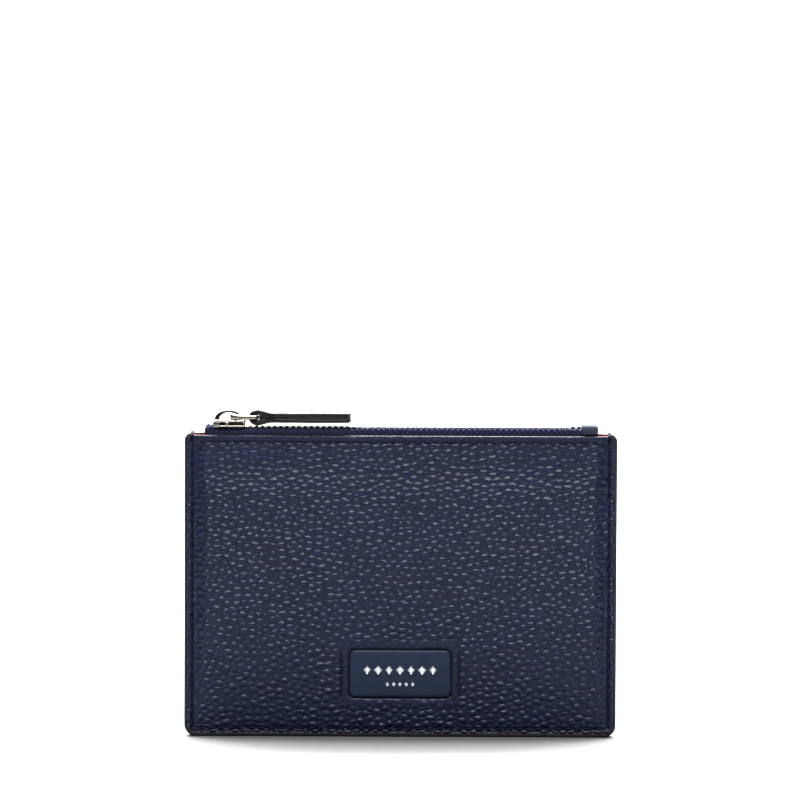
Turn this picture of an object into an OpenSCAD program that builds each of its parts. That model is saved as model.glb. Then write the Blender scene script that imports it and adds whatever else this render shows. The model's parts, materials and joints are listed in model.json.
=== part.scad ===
// Zipped card holder: a flat pouch of grained leather with a metal zip along its mouth,
// a padded plaque in a window of its front panel and three card slots on its back.
// +X runs along the zip, +Y from the front panel to the back panel and +Z up. The pouch
// stands on its bottom edge, and the origin is under the middle of its bounding box.
// Heights and depths are in millimetres. Depths are set out from the seam plane, where the
// front and back layers are sewn together, and dir is -1 for the front and 1 for the back.

/* [Pouch] */
// Width over the painted edges
body_w = 130; // [126:1:136]
// Height of the front panel
body_h = 91; // [90:1:96]
// How far the back panel stands above the front one
back_rise = 0.5; // [0.3:0.1:1]
// Radius of the bottom corners
corner_r = 3; // [2:0.5:5]
// Radius of the top corners
top_corner_r = 1.4; // [1:0.2:2]
// Free depth between the two linings at the mouth
mouth_gap = 3; // [2.8:0.1:3.2]
// Free depth between the two linings in the middle
belly_gap = 4.4; // [4.4:0.1:5]
// Thickness of the paint along the cut edges
paint_t = 0.3; // [0.2:0.1:0.4]

/* [Layers] */
// Thickness of the front leather
leather_t = 1.2; // [1:0.1:1.4]
// Thickness of the back leather
back_leather_t = 1; // [0.8:0.1:1.2]
// Thickness of the bonded leather board behind each panel
board_t = 0.5; // [0.4:0.1:0.6]
// Thickness of the woven lining
lining_t = 0.3; // [0.2:0.1:0.4]
// Height of the band along the mouth where the zip tape takes the board's place
tape_band = 7.5; // [6:0.5:9]

/* [Card slots] */
// Height of the top slot's mouth
slot_top = 72; // [70:1:74]
// Distance from one slot's mouth to the next
slot_step = 10; // [8:1:11]
// Thickness of a slot's leather strip
strip_t = 0.8; // [0.7:0.1:1]
// Thickness of a slot's fabric pocket
pocket_t = 0.2; // [0.1:0.1:0.2]
// Width between the two seams that bound the slots
slot_w = 93; // [90:1:100]
// Height of a standard card
card_h = 54; // [54:1:55]

/* [Zip] */
// Distance between teeth of one row
tooth_pitch = 1.83; // [1.7:0.01:2]
// Length of a tooth along the zip
tooth_w = 0.8; // [0.7:0.05:0.82]
// Height of a tooth
tooth_h = 1.3; // [1.2:0.1:1.4]
// Thickness of the woven tape
tape_t = 0.5; // [0.4:0.1:0.6]
// Height of the middle of the chain above the front panel
chain_rise = 2.05; // [2:0.05:2.2]
// Inset of the zip's ends from the pouch's sides
zip_inset = 6; // [6:0.1:7]

/* [Slider] */
// Length of the slider along the zip
slider_l = 9.8; // [9:0.1:10]
// Width of the slider across the zip
slider_w = 7.2; // [7:0.1:7.6]
// Width of the bail that holds the pull
bail_w = 2; // [1.6:0.1:2.2]

/* [Pull] */
// Distance between the link's two bars
link_l = 7.1; // [7:0.1:7.4]
// Radius of the link's wire
link_r = 0.65; // [0.5:0.05:0.65]
// Angle by which the link slopes down to the leather tab at rest
link_slope = 2; // [1:0.5:2.5]
// Length of the leather tab from the link's bar to its end
tab_l = 28.3; // [24:0.1:34]
// Width of the leather tab
tab_w = 7; // [6:0.5:8]
// Thickness of one layer of the folded leather tab
tab_t = 1.1; // [0.9:0.05:1.1]

/* [Plaque] */
// Width of the window in the front panel
window_w = 31.4; // [28:0.2:36]
// Height of the window
window_h = 15.4; // [12:0.2:17]
// Height of the window's centre
window_z = 19.3; // [16:0.1:30]
// How far the plaque stands out of the front panel
plaque_proud = 0.5; // [0.3:0.1:0.8]

/* [Stitches] */
// Distance from one stitch to the next
stitch_pitch = 3.4; // [3:0.1:4]
// Diameter of the thread
thread_d = 0.5; // [0.4:0.05:0.6]
// Inset of the seams from the side and bottom edges
seam_inset = 2.3; // [2.2:0.1:2.4]
// Inset of the mouth seams from the panels' top edges
mouth_seam_inset = 2; // [1.8:0.1:2.2]

/* [Hidden] */

navy = "#30385a";
smooth_navy = "#2c3a5c";
red = "#b3182c";
tape_navy = "#34345a";
nickel = "#d8d8dc";
painted = "#332f30";
board_grey = "#8a8078";

reach = body_w;              // half length that clears the whole pouch
back_h = body_h + back_rise;
bulge = belly_gap / 2;       // how far each half stands off the seam plane
mouth_bulge = mouth_gap / 2;
seam_x = body_w / 2 - seam_inset;
side_flat = seam_x - 0.6;    // the layers touch outside this half width
side_ramp = 4.5;             // width over which they spread apart
bottom_flat = seam_inset + 0.9;
bottom_ramp = 42;            // height over which they spread apart
belly_top = slot_top + 0.5;  // the layers close in again from here to the mouth band
belly_ramp = body_h - tape_band - 1 - belly_top;
ramp_steps = 5;

// How far the layers stand off the seam plane, along X and up Z
function clamp(t) = min(max(t, 0), 1);
function smooth(t) = let (c = clamp(t)) c * c * (3 - 2 * c);
function ease(t) = let (c = clamp(t)) 1 - (1 - c) * (1 - c);
function base_bulge(z) = bulge * ease((z - bottom_flat) / bottom_ramp);
function top_bulge(z) =
    mouth_bulge + (bulge - mouth_bulge) * smooth((belly_top + belly_ramp - z) / belly_ramp);

steps = [for (k = [0:ramp_steps]) k / ramp_steps];
half_profile = [for (t = steps) [side_flat - side_ramp * t, bulge * smooth(t)]];
x_profile = concat(
    [[-reach, 0]], [for (p = half_profile) [-p[0], p[1]]],
    [for (k = [ramp_steps:-1:0]) half_profile[k]], [[reach, 0]]);
z_profile = concat(
    [[-1, 0]], [for (t = steps) let (z = bottom_flat + bottom_ramp * t) [z, base_bulge(z)]],
    [for (t = steps) let (z = belly_top + belly_ramp * t) [z, top_bulge(z)]],
    [[reach, mouth_bulge]]);
function bulge_at_z(z) = lookup(z, z_profile);
function bulge_at(x, z) = min(lookup(x, x_profile), bulge_at_z(z));

// Depths of each layer's inner face from the seam plane, before the bulge
board_in = lining_t;
leather_in = lining_t + board_t;
front_out = leather_in + leather_t;
back_out = leather_in + back_leather_t;
strip_1_in = back_out + pocket_t;
strip_2_in = strip_1_in + pocket_t;
pocket_in = strip_2_in + pocket_t;
pocket_out = pocket_in + back_leather_t;
front_face = front_out + bulge;
back_face = pocket_out + bulge;
thread_h = 0.3;              // how far a stitch stands out of the leather
plaque_gap = 0.4;
plaque_face = front_out + bulge_at_z(window_z + window_h / 2 - plaque_gap) + plaque_proud;
seam_y = (max(front_face, plaque_face) - back_face - thread_h) / 2;  // centres the bounding box

strip_gap = 0.4;             // between one strip's lower edge and the next slot's mouth
slot_mouths = [for (k = [0:2]) slot_top - k * slot_step];
card_show = 5;               // how much of a card stands out of its slot

chain_z = body_h + chain_rise;
chain_half = mouth_bulge + leather_in;    // half width of the chain over the tapes
bend_r = tape_t + 0.1;
zip_x = body_w / 2 - zip_inset;
slider_x = -zip_x + 2.5 + slider_l / 2;
teeth_x = slider_x - slider_l / 2 + 3;
end_tab_l = 4.8;
end_tab_t = 0.7;
tooth_count = floor((zip_x - end_tab_l - tooth_pitch - teeth_x) / tooth_pitch);
tooth_top = chain_z + tooth_h / 2;

plate_z = tooth_top + 0.3;   // underside of the slider's top plate
plate_t = 1.5;
plate_top = plate_z + plate_t;
bail_a = 4.3;
bail_b = 2.8;
bail_t = 0.9;
bar_r = 0.85;                // the link's thick bar, inside the bail
bar_x = slider_x + 1.1;
bar_z = plate_top + bar_r + 0.1;
link_half_w = 3.1;
tab_x = bar_x + link_l * cos(link_slope);
tab_z = bar_z - link_l * sin(link_slope);
tab_bore_r = link_r + 0.1;
loop_r = 2.25;
filler_t = 0.5;
neck_w = 4.2;

// ---------- the bulged layers of the pouch ----------

// Extrudes a (y, z) outline along X, from x0 to x1
module along_x(x0, x1) {
    translate([x0, 0, 0]) rotate([90, 0, 90]) linear_extrude(x1 - x0) children();
}

// Extrudes an (x, z) outline along Y, from y0 to y1
module along_y(y0, y1) {
    translate([0, y1, 0]) rotate([90, 0, 0]) linear_extrude(y1 - y0) children();
}

// Everything from "under" behind the seam plane to a face at depth + bulge on side dir
module bulged(dir, depth, under) {
    intersection() {
        translate([0, 0, -1]) linear_extrude(reach) polygon(concat(
            [for (p = x_profile) [p[0], dir * (depth + p[1])]],
            [[reach, -dir * under], [-reach, -dir * under]]));
        along_x(-reach, reach) polygon(concat(
            [for (p = z_profile) [dir * (depth + p[1]), p[0]]],
            [[-dir * under, reach], [-dir * under, -1]]));
    }
}

// Outline of a panel in (x, z), with rounded corners
module outline(inset, top) {
    w = body_w / 2 - inset;
    rb = corner_r - inset;
    rt = top_corner_r;
    translate([-w + rb, inset]) square([2 * (w - rb), rb]);
    translate([-w, inset + rb]) square([2 * w, top - rt - inset - rb]);
    translate([-w + rt, top - rt]) square([2 * (w - rt), rt]);
    for (s = [-1, 1]) {
        translate([s * (w - rb), inset + rb]) circle(rb, $fn = 48);
        translate([s * (w - rt), top - rt]) circle(rt, $fn = 48);
    }
}

// One sheet of the pouch, of thickness t, between heights z0 and z1
module layer(dir, depth, t, z0, z1, top) {
    intersection() {
        difference() {
            bulged(dir, depth + t, 0);
            bulged(dir, depth, 1);
        }
        along_y(-reach, reach) intersection() {
            outline(paint_t, top);
            translate([-reach, z0]) square([2 * reach, z1 - z0]);
        }
    }
}

module rounded_rect(w, h, r) {
    square([w - 2 * r, h], center = true);
    square([w, h - 2 * r], center = true);
    for (sx = [-1, 1], sy = [-1, 1])
        translate([sx * (w / 2 - r), sy * (h / 2 - r)]) circle(r, $fn = 48);
}

module window(grow) {
    translate([0, window_z]) rounded_rect(window_w + 2 * grow, window_h + 2 * grow, 2 + grow);
}

// ---------- front ----------

module front_panel() {
    color(navy) difference() {
        layer(-1, leather_in, leather_t, 0, body_h, body_h);
        along_y(-reach, 0) window(0);
    }
}

backing_grow = 3.6;

module front_board() {
    color(board_grey) difference() {
        layer(-1, board_in, board_t, 0, body_h - tape_band - 0.3, body_h);
        along_y(-reach, 0) window(backing_grow);
    }
}

module front_lining() {
    color(red) layer(-1, 0, lining_t, 0, body_h - 0.4, body_h - 0.4);
}

// The padded plaque: a sewn backing behind the window, a board core and a leather cover
module plaque_backing() {
    color(smooth_navy) intersection() {
        layer(-1, board_in, board_t, 0, body_h, body_h);
        along_y(-reach, 0) window(backing_grow - 0.2);
    }
}

cover_t = 0.6;

// A piece that fills the window, less an inset, from the board out to a given thickness
module in_window(inset, t) {
    intersection() {
        layer(-1, leather_in, t, 0, body_h, body_h);
        along_y(-reach, 0) window(-inset);
    }
}

module plaque_core() {
    color(board_grey) in_window(plaque_gap + cover_t, leather_t);
}

module plaque_cover() {
    color(smooth_navy) difference() {
        in_window(plaque_gap, leather_t + plaque_proud);
        in_window(plaque_gap + cover_t, leather_t);
    }
}

// ---------- back ----------

module back_panel() {
    color(navy) layer(1, leather_in, back_leather_t, 0, back_h, back_h);
}

module back_board() {
    color(board_grey) layer(1, board_in, board_t, 0, body_h - tape_band - 0.3, back_h);
}

module back_lining() {
    color(red) layer(1, 0, lining_t, 0, back_h - 0.1, back_h - 0.1);
}

// Strips 1 and 2 run from their slot's mouth to just above the next one
module slot_strip(k, depth) {
    color(navy) layer(1, depth, strip_t, slot_mouths[k + 1] + strip_gap, slot_mouths[k], back_h);
}

module slot_pocket_front() {
    color(navy) layer(1, pocket_in, back_leather_t, 0, slot_mouths[2], back_h);
}

// A fabric pocket hangs behind its slot's leather, as deep as a card needs
module pocket_lining(k, depth) {
    mouth = slot_mouths[k];
    color(red) layer(1, depth, pocket_t, max(mouth + card_show - card_h, paint_t), mouth - 1, back_h);
}

// ---------- painted edges and threads ----------

// Paint round the sides and the bottom, between two depths and up to height z1
module paint_band(y0, y1, z1, top) {
    along_y(y0, y1) intersection() {
        difference() {
            outline(0, top);
            translate([0, -0.001]) outline(paint_t, top + 5);
        }
        translate([-reach, 0]) square([2 * reach, z1]);
    }
}

module edge_paint() {
    color(painted) {
        paint_band(-front_out, 0, body_h - top_corner_r, body_h);
        paint_band(0, back_out, back_h - top_corner_r, back_h);
        paint_band(back_out, strip_1_in + strip_t, slot_mouths[0], back_h);
        paint_band(strip_1_in + strip_t, strip_2_in + strip_t, slot_mouths[1], back_h);
        paint_band(strip_2_in + strip_t, pocket_out, slot_mouths[2], back_h);
    }
}

stitch_l = stitch_pitch * 0.78;

// A row of stitches along X, centred, lying on the face at depth y on side dir
module row_x(dir, y, z, half) {
    n = floor(2 * half / stitch_pitch);
    for (k = [0:n - 1])
        translate([(k - (n - 1) / 2) * stitch_pitch, dir * (y + bulge_at_z(z) + thread_h / 2), z])
            cube([stitch_l, thread_h, thread_d], center = true);
}

// A row of stitches up Z, between two heights
module row_z(dir, y, x, z0, z1) {
    n = floor((z1 - z0) / stitch_pitch);
    for (k = [0:n - 1]) {
        z = (z0 + z1) / 2 + (k - (n - 1) / 2) * stitch_pitch;
        stand = max(bulge_at(x, z - stitch_l / 2), bulge_at(x, z + stitch_l / 2));
        translate([x, dir * (y + stand + thread_h / 2), z])
            cube([thread_d, thread_h, stitch_l], center = true);
    }
}

wrap_drop = 3;               // how far the corner stitch reaches down each face

// The stitch that ties each corner of the mouth, over the top edges of both panels
module corner_wrap(x) {
    translate([x - thread_d / 2, -front_out - thread_h, back_h])
        cube([thread_d, front_out + back_out + 2 * thread_h, thread_h]);
    translate([x - thread_d / 2, -front_out - thread_h, back_h - wrap_drop])
        cube([thread_d, thread_h, wrap_drop]);
    translate([x - thread_d / 2, back_out, back_h - wrap_drop])
        cube([thread_d, thread_h, wrap_drop]);
}

// Rows up the pocket front and the two strips
module slot_rows(x, z0) {
    row_z(1, strip_1_in + strip_t, x, slot_mouths[1] + strip_gap, slot_mouths[0]);
    row_z(1, strip_2_in + strip_t, x, slot_mouths[2] + strip_gap, slot_mouths[1]);
    row_z(1, pocket_out, x, z0, slot_mouths[2]);
}

module side_seam_thread() {
    color(tape_navy) {
        row_x(-1, front_out, seam_inset, seam_x - 2);
        row_x(1, pocket_out, seam_inset, seam_x - 2);
        for (s = [-1, 1]) {
            row_z(-1, front_out, s * seam_x, seam_inset + 1, back_h - wrap_drop);
            slot_rows(s * seam_x, seam_inset + 1);
            row_z(1, back_out, s * seam_x, slot_mouths[0] + 0.5, back_h - wrap_drop);
            corner_wrap(s * seam_x);
        }
    }
}

module front_mouth_thread() {
    color(tape_navy)
        row_x(-1, front_out, body_h - mouth_seam_inset, side_flat - side_ramp);
}

module back_mouth_thread() {
    color(tape_navy)
        row_x(1, back_out, back_h - mouth_seam_inset, side_flat - side_ramp);
}

module card_seam_thread() {
    color(tape_navy) for (s = [-1, 1]) slot_rows(s * slot_w / 2, bottom_flat + 5);
}

plaque_seam_x = window_w / 2 + 2.2;

module plaque_thread() {
    half = window_h / 2;
    color(tape_navy) for (s = [-1, 1])
        row_z(-1, front_out, s * plaque_seam_x, window_z - half, window_z + half);
}

// ---------- zip ----------

// A tape in (y, z): up from the seam, over a bend and in to the teeth
module tape_outline() {
    foot = body_h - tape_band;
    bend_z = chain_z + tape_t / 2 - bend_r;
    translate([-chain_half, foot]) square([tape_t, bend_z - foot]);
    translate([-chain_half + bend_r, bend_z]) intersection() {
        difference() {
            circle(bend_r, $fn = 48);
            circle(bend_r - tape_t, $fn = 48);
        }
        translate([-bend_r, 0]) square([bend_r, bend_r]);
    }
    translate([-chain_half + bend_r, chain_z - tape_t / 2])
        square([chain_half - bend_r - bead_y, tape_t]);
}

bead_y = 0.95;               // where a tape ends, short of the middle of the chain

module zip_tape_front() {
    color(tape_navy) along_x(-zip_x, zip_x - end_tab_t) tape_outline();
}

module zip_tape_back() {
    color(tape_navy) mirror([0, 1, 0]) along_x(-zip_x, zip_x - end_tab_t) tape_outline();
}

head_y = 0.55;               // how far a tooth's head reaches past the middle

// One tooth of the front row: two legs that clamp the tape, and a head between the others
module tooth_outline() {
    difference() {
        translate([-chain_half + 0.25, chain_z - tooth_h / 2])
            square([chain_half - 0.25 + head_y, tooth_h]);
        translate([-chain_half, chain_z - tape_t / 2]) square([chain_half - bead_y, tape_t]);
        translate([-chain_half, chain_z - tooth_h])
            square([bend_r + 0.1, tooth_h]);
    }
}

module teeth_row(shift) {
    for (k = [0:tooth_count - 1])
        translate([teeth_x + shift + k * tooth_pitch, 0, 0])
            along_x(-tooth_w / 2, tooth_w / 2) tooth_outline();
}

module zip_teeth_front() {
    color(nickel) teeth_row(0);
}

module zip_teeth_back() {
    color(nickel) mirror([0, 1, 0]) teeth_row(tooth_pitch / 2);
}

// A stop is a tooth without a head
module stop_outline() {
    intersection() {
        tooth_outline();
        translate([-chain_half, 0]) square([chain_half - bead_y + 0.1, reach]);
    }
}

module zip_top_stops() {
    color(nickel) for (m = [0, 1]) mirror([0, m, 0])
        along_x(slider_x - slider_l / 2 + 0.3, slider_x - slider_l / 2 + 1.4) stop_outline();
}

module zip_bottom_stop() {
    stop_x = zip_x - end_tab_l + 0.6;
    color(nickel) along_x(stop_x, stop_x + 1.4) {
        for (m = [0, 1]) mirror([m, 0]) tooth_outline();
    }
}

end_tab_top = body_h + 3.2;

// A leather tab folded over the zip's end, with a tongue down between the tapes
module zip_end_tab() {
    x0 = zip_x - end_tab_l;
    cap_y = chain_half + 0.05;
    cap_z = tooth_top + 0.05;
    color(smooth_navy) {
        translate([x0, -cap_y - end_tab_t, cap_z])
            cube([end_tab_l, 2 * (cap_y + end_tab_t), end_tab_top - cap_z]);
        translate([x0, -cap_y - end_tab_t, body_h + 0.02])
            cube([end_tab_l, end_tab_t, cap_z - body_h]);
        translate([x0, cap_y, back_h + 0.02])
            cube([end_tab_l, end_tab_t, cap_z - back_h]);
        translate([x0 + 2.2, -bead_y + 0.05, body_h - 6])
            cube([end_tab_l - 2.2, 2 * (bead_y - 0.05), cap_z - body_h + 6.1]);
        translate([zip_x - end_tab_t + 0.02, -cap_y - 0.1, back_h + 0.02])
            cube([end_tab_t - 0.02, 2 * cap_y + 0.2, cap_z - back_h]);
    }
}

// ---------- slider ----------

module slider_body() {
    flange_t = 0.7;
    tongue_half = chain_half - tape_t - 0.2;
    lower_top = chain_z - tooth_h / 2 - 0.2;
    color(nickel) translate([slider_x, 0, 0]) {
        translate([0, 0, plate_z]) linear_extrude(plate_t * 0.6)
            rounded_rect(slider_l, slider_w, 1.6);
        translate([0, 0, plate_z]) linear_extrude(plate_t)
            rounded_rect(slider_l - 1, slider_w - 1.2, 1.6);
        for (s = [-1, 1])
            translate([-slider_l / 2 + 1, s * (slider_w - flange_t) / 2 - flange_t / 2, plate_z - 0.6])
                cube([slider_l - 2, flange_t, 0.7]);
        translate([-slider_l / 2 + 0.3, -tongue_half, lower_top - 0.7])
            cube([slider_l - 0.9, 2 * tongue_half, 0.7]);
        translate([-slider_l / 2 + 0.5, -0.65, lower_top - 0.1])
            cube([1.6, 1.3, plate_z - lower_top + 0.2]);
    }
}

module half_ellipse(a, b) {
    polygon([for (t = [0:7.5:180]) [a * cos(t), b * sin(t)]]);
}

module slider_bail() {
    color(nickel) translate([slider_x, 0, plate_top]) along_y(-bail_w / 2, bail_w / 2)
        difference() {
            half_ellipse(bail_a, bail_b);
            translate([0, -0.01]) half_ellipse(bail_a - bail_t * 1.2, bail_b - bail_t * 0.78);
        }
}

// ---------- pull ----------

module bar(r, half) {
    rotate([90, 0, 0]) cylinder(h = 2 * half, r = r, center = true, $fn = 48);
}

// A closed loop of wire that turns on its thick bar inside the bail
module pull_link() {
    bend = 0.9;
    color(nickel) translate([bar_x, 0, bar_z]) rotate([0, link_slope, 0]) {
        bar(bar_r, link_half_w);
        translate([link_l, 0, 0]) bar(link_r, link_half_w - bend + 0.01);
        for (s = [-1, 1]) {
            translate([0, s * link_half_w, 0]) sphere(bar_r, $fn = 48);
            translate([0, s * link_half_w, 0]) rotate([0, 90, 0])
                cylinder(h = link_l - bend + 0.01, r = link_r, $fn = 48);
            translate([link_l - bend, s * (link_half_w - bend), 0]) mirror([0, (1 - s) / 2, 0])
                rotate_extrude(angle = 90, $fn = 48) translate([bend, 0]) circle(link_r, $fn = 48);
        }
    }
}

// Leather folded round the link's bar, its two layers glued over a filler
module pull_tab() {
    layer_half = tab_t + filler_t / 2;
    color("#26242a") translate([tab_x, 0, tab_z]) difference() {
        union() {
            bar(loop_r, neck_w / 2);
            translate([0, -neck_w / 2, -layer_half]) cube([6, neck_w, 2 * layer_half]);
            translate([(3.4 + tab_l) / 2, 0, -layer_half]) linear_extrude(2 * layer_half)
                rounded_rect(tab_l - 3.4, tab_w, 1.2);
        }
        bar(tab_bore_r, tab_w);
        translate([tab_filler_x, -tab_w, -filler_t / 2]) cube([tab_l, 2 * tab_w, filler_t]);
    }
}

tab_filler_x = 9;

module pull_tab_filler() {
    color(board_grey) translate([tab_x, 0, tab_z - filler_t / 2]) linear_extrude(filler_t)
        intersection() {
            translate([(3.4 + tab_l) / 2, 0]) rounded_rect(tab_l - 3.4, tab_w, 1.2);
            translate([tab_filler_x, -tab_w]) square([tab_l, 2 * tab_w]);
        }
}

// ---------- placing ----------

module place(name) {
    translate([0, seam_y, 0]) children();
}

place("front_panel") front_panel();
place("front_board") front_board();
place("front_lining") front_lining();
place("back_panel") back_panel();
place("back_board") back_board();
place("back_lining") back_lining();
place("slot_strip_1") slot_strip(0, strip_1_in);
place("slot_strip_2") slot_strip(1, strip_2_in);
place("slot_pocket_front") slot_pocket_front();
place("pocket_lining_1") pocket_lining(0, back_out);
place("pocket_lining_2") pocket_lining(1, strip_1_in);
place("pocket_lining_3") pocket_lining(2, strip_2_in);
place("edge_paint") edge_paint();
place("side_seam_thread") side_seam_thread();
place("front_mouth_thread") front_mouth_thread();
place("back_mouth_thread") back_mouth_thread();
place("card_seam_thread") card_seam_thread();
place("plaque_thread") plaque_thread();
place("plaque_cover") plaque_cover();
place("plaque_core") plaque_core();
place("plaque_backing") plaque_backing();
place("zip_tape_front") zip_tape_front();
place("zip_tape_back") zip_tape_back();
place("zip_teeth_front") zip_teeth_front();
place("zip_teeth_back") zip_teeth_back();
place("zip_top_stops") zip_top_stops();
place("zip_bottom_stop") zip_bottom_stop();
place("zip_end_tab") zip_end_tab();
place("slider_body") slider_body();
place("slider_bail") slider_bail();
place("pull_link") pull_link();
place("pull_tab") pull_tab();
place("pull_tab_filler") pull_tab_filler();
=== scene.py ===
"""The visual model of a zipped leather card holder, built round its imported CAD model."""

import json
import math

import bpy
import numpy as np
from mathutils import Matrix, Vector


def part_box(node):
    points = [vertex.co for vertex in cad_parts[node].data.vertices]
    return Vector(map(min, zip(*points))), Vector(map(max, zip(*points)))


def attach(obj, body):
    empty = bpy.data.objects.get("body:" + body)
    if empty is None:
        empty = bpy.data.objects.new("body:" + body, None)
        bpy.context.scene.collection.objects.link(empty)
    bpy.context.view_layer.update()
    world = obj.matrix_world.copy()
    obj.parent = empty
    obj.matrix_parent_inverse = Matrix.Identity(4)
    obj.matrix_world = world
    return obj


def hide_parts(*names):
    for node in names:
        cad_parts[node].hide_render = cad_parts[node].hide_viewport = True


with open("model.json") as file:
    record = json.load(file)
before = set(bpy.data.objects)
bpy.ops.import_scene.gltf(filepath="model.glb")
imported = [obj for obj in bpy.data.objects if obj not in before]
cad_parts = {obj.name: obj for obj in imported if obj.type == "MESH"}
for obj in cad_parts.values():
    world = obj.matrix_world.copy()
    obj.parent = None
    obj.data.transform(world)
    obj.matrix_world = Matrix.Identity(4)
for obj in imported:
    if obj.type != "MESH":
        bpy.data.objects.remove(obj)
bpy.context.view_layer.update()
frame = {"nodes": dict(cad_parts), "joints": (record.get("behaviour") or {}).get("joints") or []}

MM = 0.001
NODES = frame["nodes"]


def corners_mm(node):
    """The lowest and highest corners of a CAD node, in millimetres."""
    low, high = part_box(node)
    return np.array(low) / MM, np.array(high) / MM


def joint_mm(name):
    """A joint's place at rest, in millimetres."""
    joint = next(j for j in frame["joints"] if j["name"] == name)
    return np.array(joint["pos_m"]) / MM


# Places and sizes of the CAD model, in millimetres.
PANEL_LOW, PANEL_HIGH = corners_mm("front_panel")
PAINT_LOW, PAINT_HIGH = corners_mm("edge_paint")
BAIL_LOW, BAIL_HIGH = corners_mm("slider_bail")
SLIDER_LOW, SLIDER_HIGH = corners_mm("slider_body")
TAPE_LOW, TAPE_HIGH = corners_mm("zip_tape_front")
TEETH_LOW, TEETH_HIGH = corners_mm("zip_teeth_front")
END_LOW, END_HIGH = corners_mm("zip_end_tab")
SEAM_Y = (BAIL_LOW[1] + BAIL_HIGH[1]) / 2
BODY_W = PAINT_HIGH[0] - PAINT_LOW[0]
FRONT_TOP = PANEL_HIGH[2]
BACK_TOP = corners_mm("back_panel")[1][2]
# The two sides, as the sign of their y. A slice [::side] or [::-side] turns faces outwards on both.
FRONT, BACK = -1, 1

# Depths of the layers' faces from the seam plane, before the bulge.
LEATHER_IN = 0.8
FRONT_OUT, BACK_OUT = 2.0, 1.8
STRIP_1, STRIP_2, POCKET = (2.0, 2.8), (2.2, 3.0), (2.4, 3.4)

# Heights of the card slots' mouths, and the window in the front as low x, high x, low z, high z.
SLOT_MOUTHS = (72.0, 62.0, 52.0)
WINDOW = (-15.7, 15.7, 11.6, 27.0)
WINDOW_R = 2.0

# The bulge: how far it stands out, and where it starts at the sides, the bottom and the mouth.
BELLY, MOUTH_BULGE = 2.2, 1.5
SIDE_FLAT, SIDE_RAMP = 62.1, 4.5
BOTTOM_FLAT, BOTTOM_RAMP = 3.2, 42.0
BELLY_TOP, BELLY_RAMP = 72.5, 10.0


def smooth(t):
    """An S-curve from 0 to 1."""
    t = np.clip(t, 0.0, 1.0)
    return t * t * (3 - 2 * t)


def bulge(x, z):
    """How far a layer stands off the seam plane at (x, z)."""
    side = BELLY * smooth((SIDE_FLAT - np.abs(x)) / SIDE_RAMP)
    rise = np.clip((z - BOTTOM_FLAT) / BOTTOM_RAMP, 0.0, 1.0)
    base = BELLY * (1 - (1 - rise) ** 2)
    top = MOUTH_BULGE + (BELLY - MOUTH_BULGE) * smooth((BELLY_TOP + BELLY_RAMP - z) / BELLY_RAMP)
    return np.minimum(side, np.minimum(base, top))


def at_depth(x, depth, z, side):
    """Points at a depth on one side of the seam plane."""
    return np.stack([x, SEAM_Y + side * depth, z], -1)


def circle(points):
    return np.linspace(0, 2 * math.pi, points, endpoint=False)


def directions(path):
    """Unit steps along a path."""
    way = np.gradient(path, axis=0)
    return way / np.linalg.norm(way, axis=1)[:, None]


def blurred(values, times):
    """Values averaged with their neighbours, as on a closed loop."""
    for _ in range(times):
        values = (np.roll(values, 1, 0) + values + np.roll(values, -1, 0)) / 3
    return values


# ---------- materials ----------


class Paint:
    """A node material: a Principled shader and the nodes that feed it."""

    def __init__(self, name, **constants):
        self.material = bpy.data.materials.new(name)
        self.material.use_nodes = True
        self.tree = self.material.node_tree
        self.shader = self.tree.nodes["Principled BSDF"]
        for socket, value in constants.items():
            self.shader.inputs[socket.replace("_", " ")].default_value = value

    def plug(self, value, socket):
        """Links another node's output to a socket, or sets a plain value on it."""
        if isinstance(value, bpy.types.NodeSocket):
            self.tree.links.new(value, socket)
        else:
            socket.default_value = value

    def node(self, kind, inputs=None, **settings):
        made = self.tree.nodes.new("ShaderNode" + kind)
        for key, value in settings.items():
            setattr(made, key, value)
        for key, value in (inputs or {}).items():
            self.plug(value, made.inputs[key])
        return made

    def place(self):
        return self.node("TexCoord").outputs["Object"]

    def scaled(self, x, y, z):
        return self.node("Mapping", {"Vector": self.place(), "Scale": (x, y, z)}).outputs["Vector"]

    def noise(self, scale, detail=3.0, vector=None, roughness=0.5):
        inputs = {"Vector": vector or self.place(), "Scale": scale, "Detail": detail, "Roughness": roughness}
        return self.node("TexNoise", inputs).outputs["Fac"]

    def spread(self, value, low, high, to_low=0.0, to_high=1.0):
        inputs = {"Value": value, "From Min": low, "From Max": high, "To Min": to_low, "To Max": to_high}
        return self.node("MapRange", inputs).outputs["Result"]

    def vary(self, noise, to_low=0.0, to_high=1.0):
        """The middle of a noise's range, spread from one value to another."""
        return self.spread(noise, 0.3, 0.7, to_low, to_high)

    def math(self, operation, a, b=0.5):
        return self.node("Math", {0: a, 1: b}, operation=operation).outputs["Value"]

    def mix(self, factor, a, b, blend="MIX"):
        """A colour mix. Its colour sockets are numbers 6, 7 and 2, because their names aren't unique."""
        made = self.node("Mix", {0: factor, 6: a, 7: b}, data_type="RGBA", blend_type=blend)
        return made.outputs[2]

    def bump(self, height, strength, distance_mm, normal=None):
        inputs = {"Height": height, "Strength": strength, "Distance": distance_mm * MM}
        if normal:
            inputs["Normal"] = normal
        return self.node("Bump", inputs).outputs["Normal"]

    def finish(self, colour, roughness, normal):
        """Feeds the shader and hands over the material."""
        for socket, value in (("Base Color", colour), ("Roughness", roughness), ("Normal", normal)):
            self.plug(value, self.shader.inputs[socket])
        return self.material


def rgb(red, green, blue):
    """An sRGB colour from 0 to 255 as a linear one."""
    linear = [c / 255 / 12.92 if c <= 10 else ((c / 255 + 0.055) / 1.055) ** 2.4 for c in (red, green, blue)]
    return (*linear, 1.0)


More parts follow.
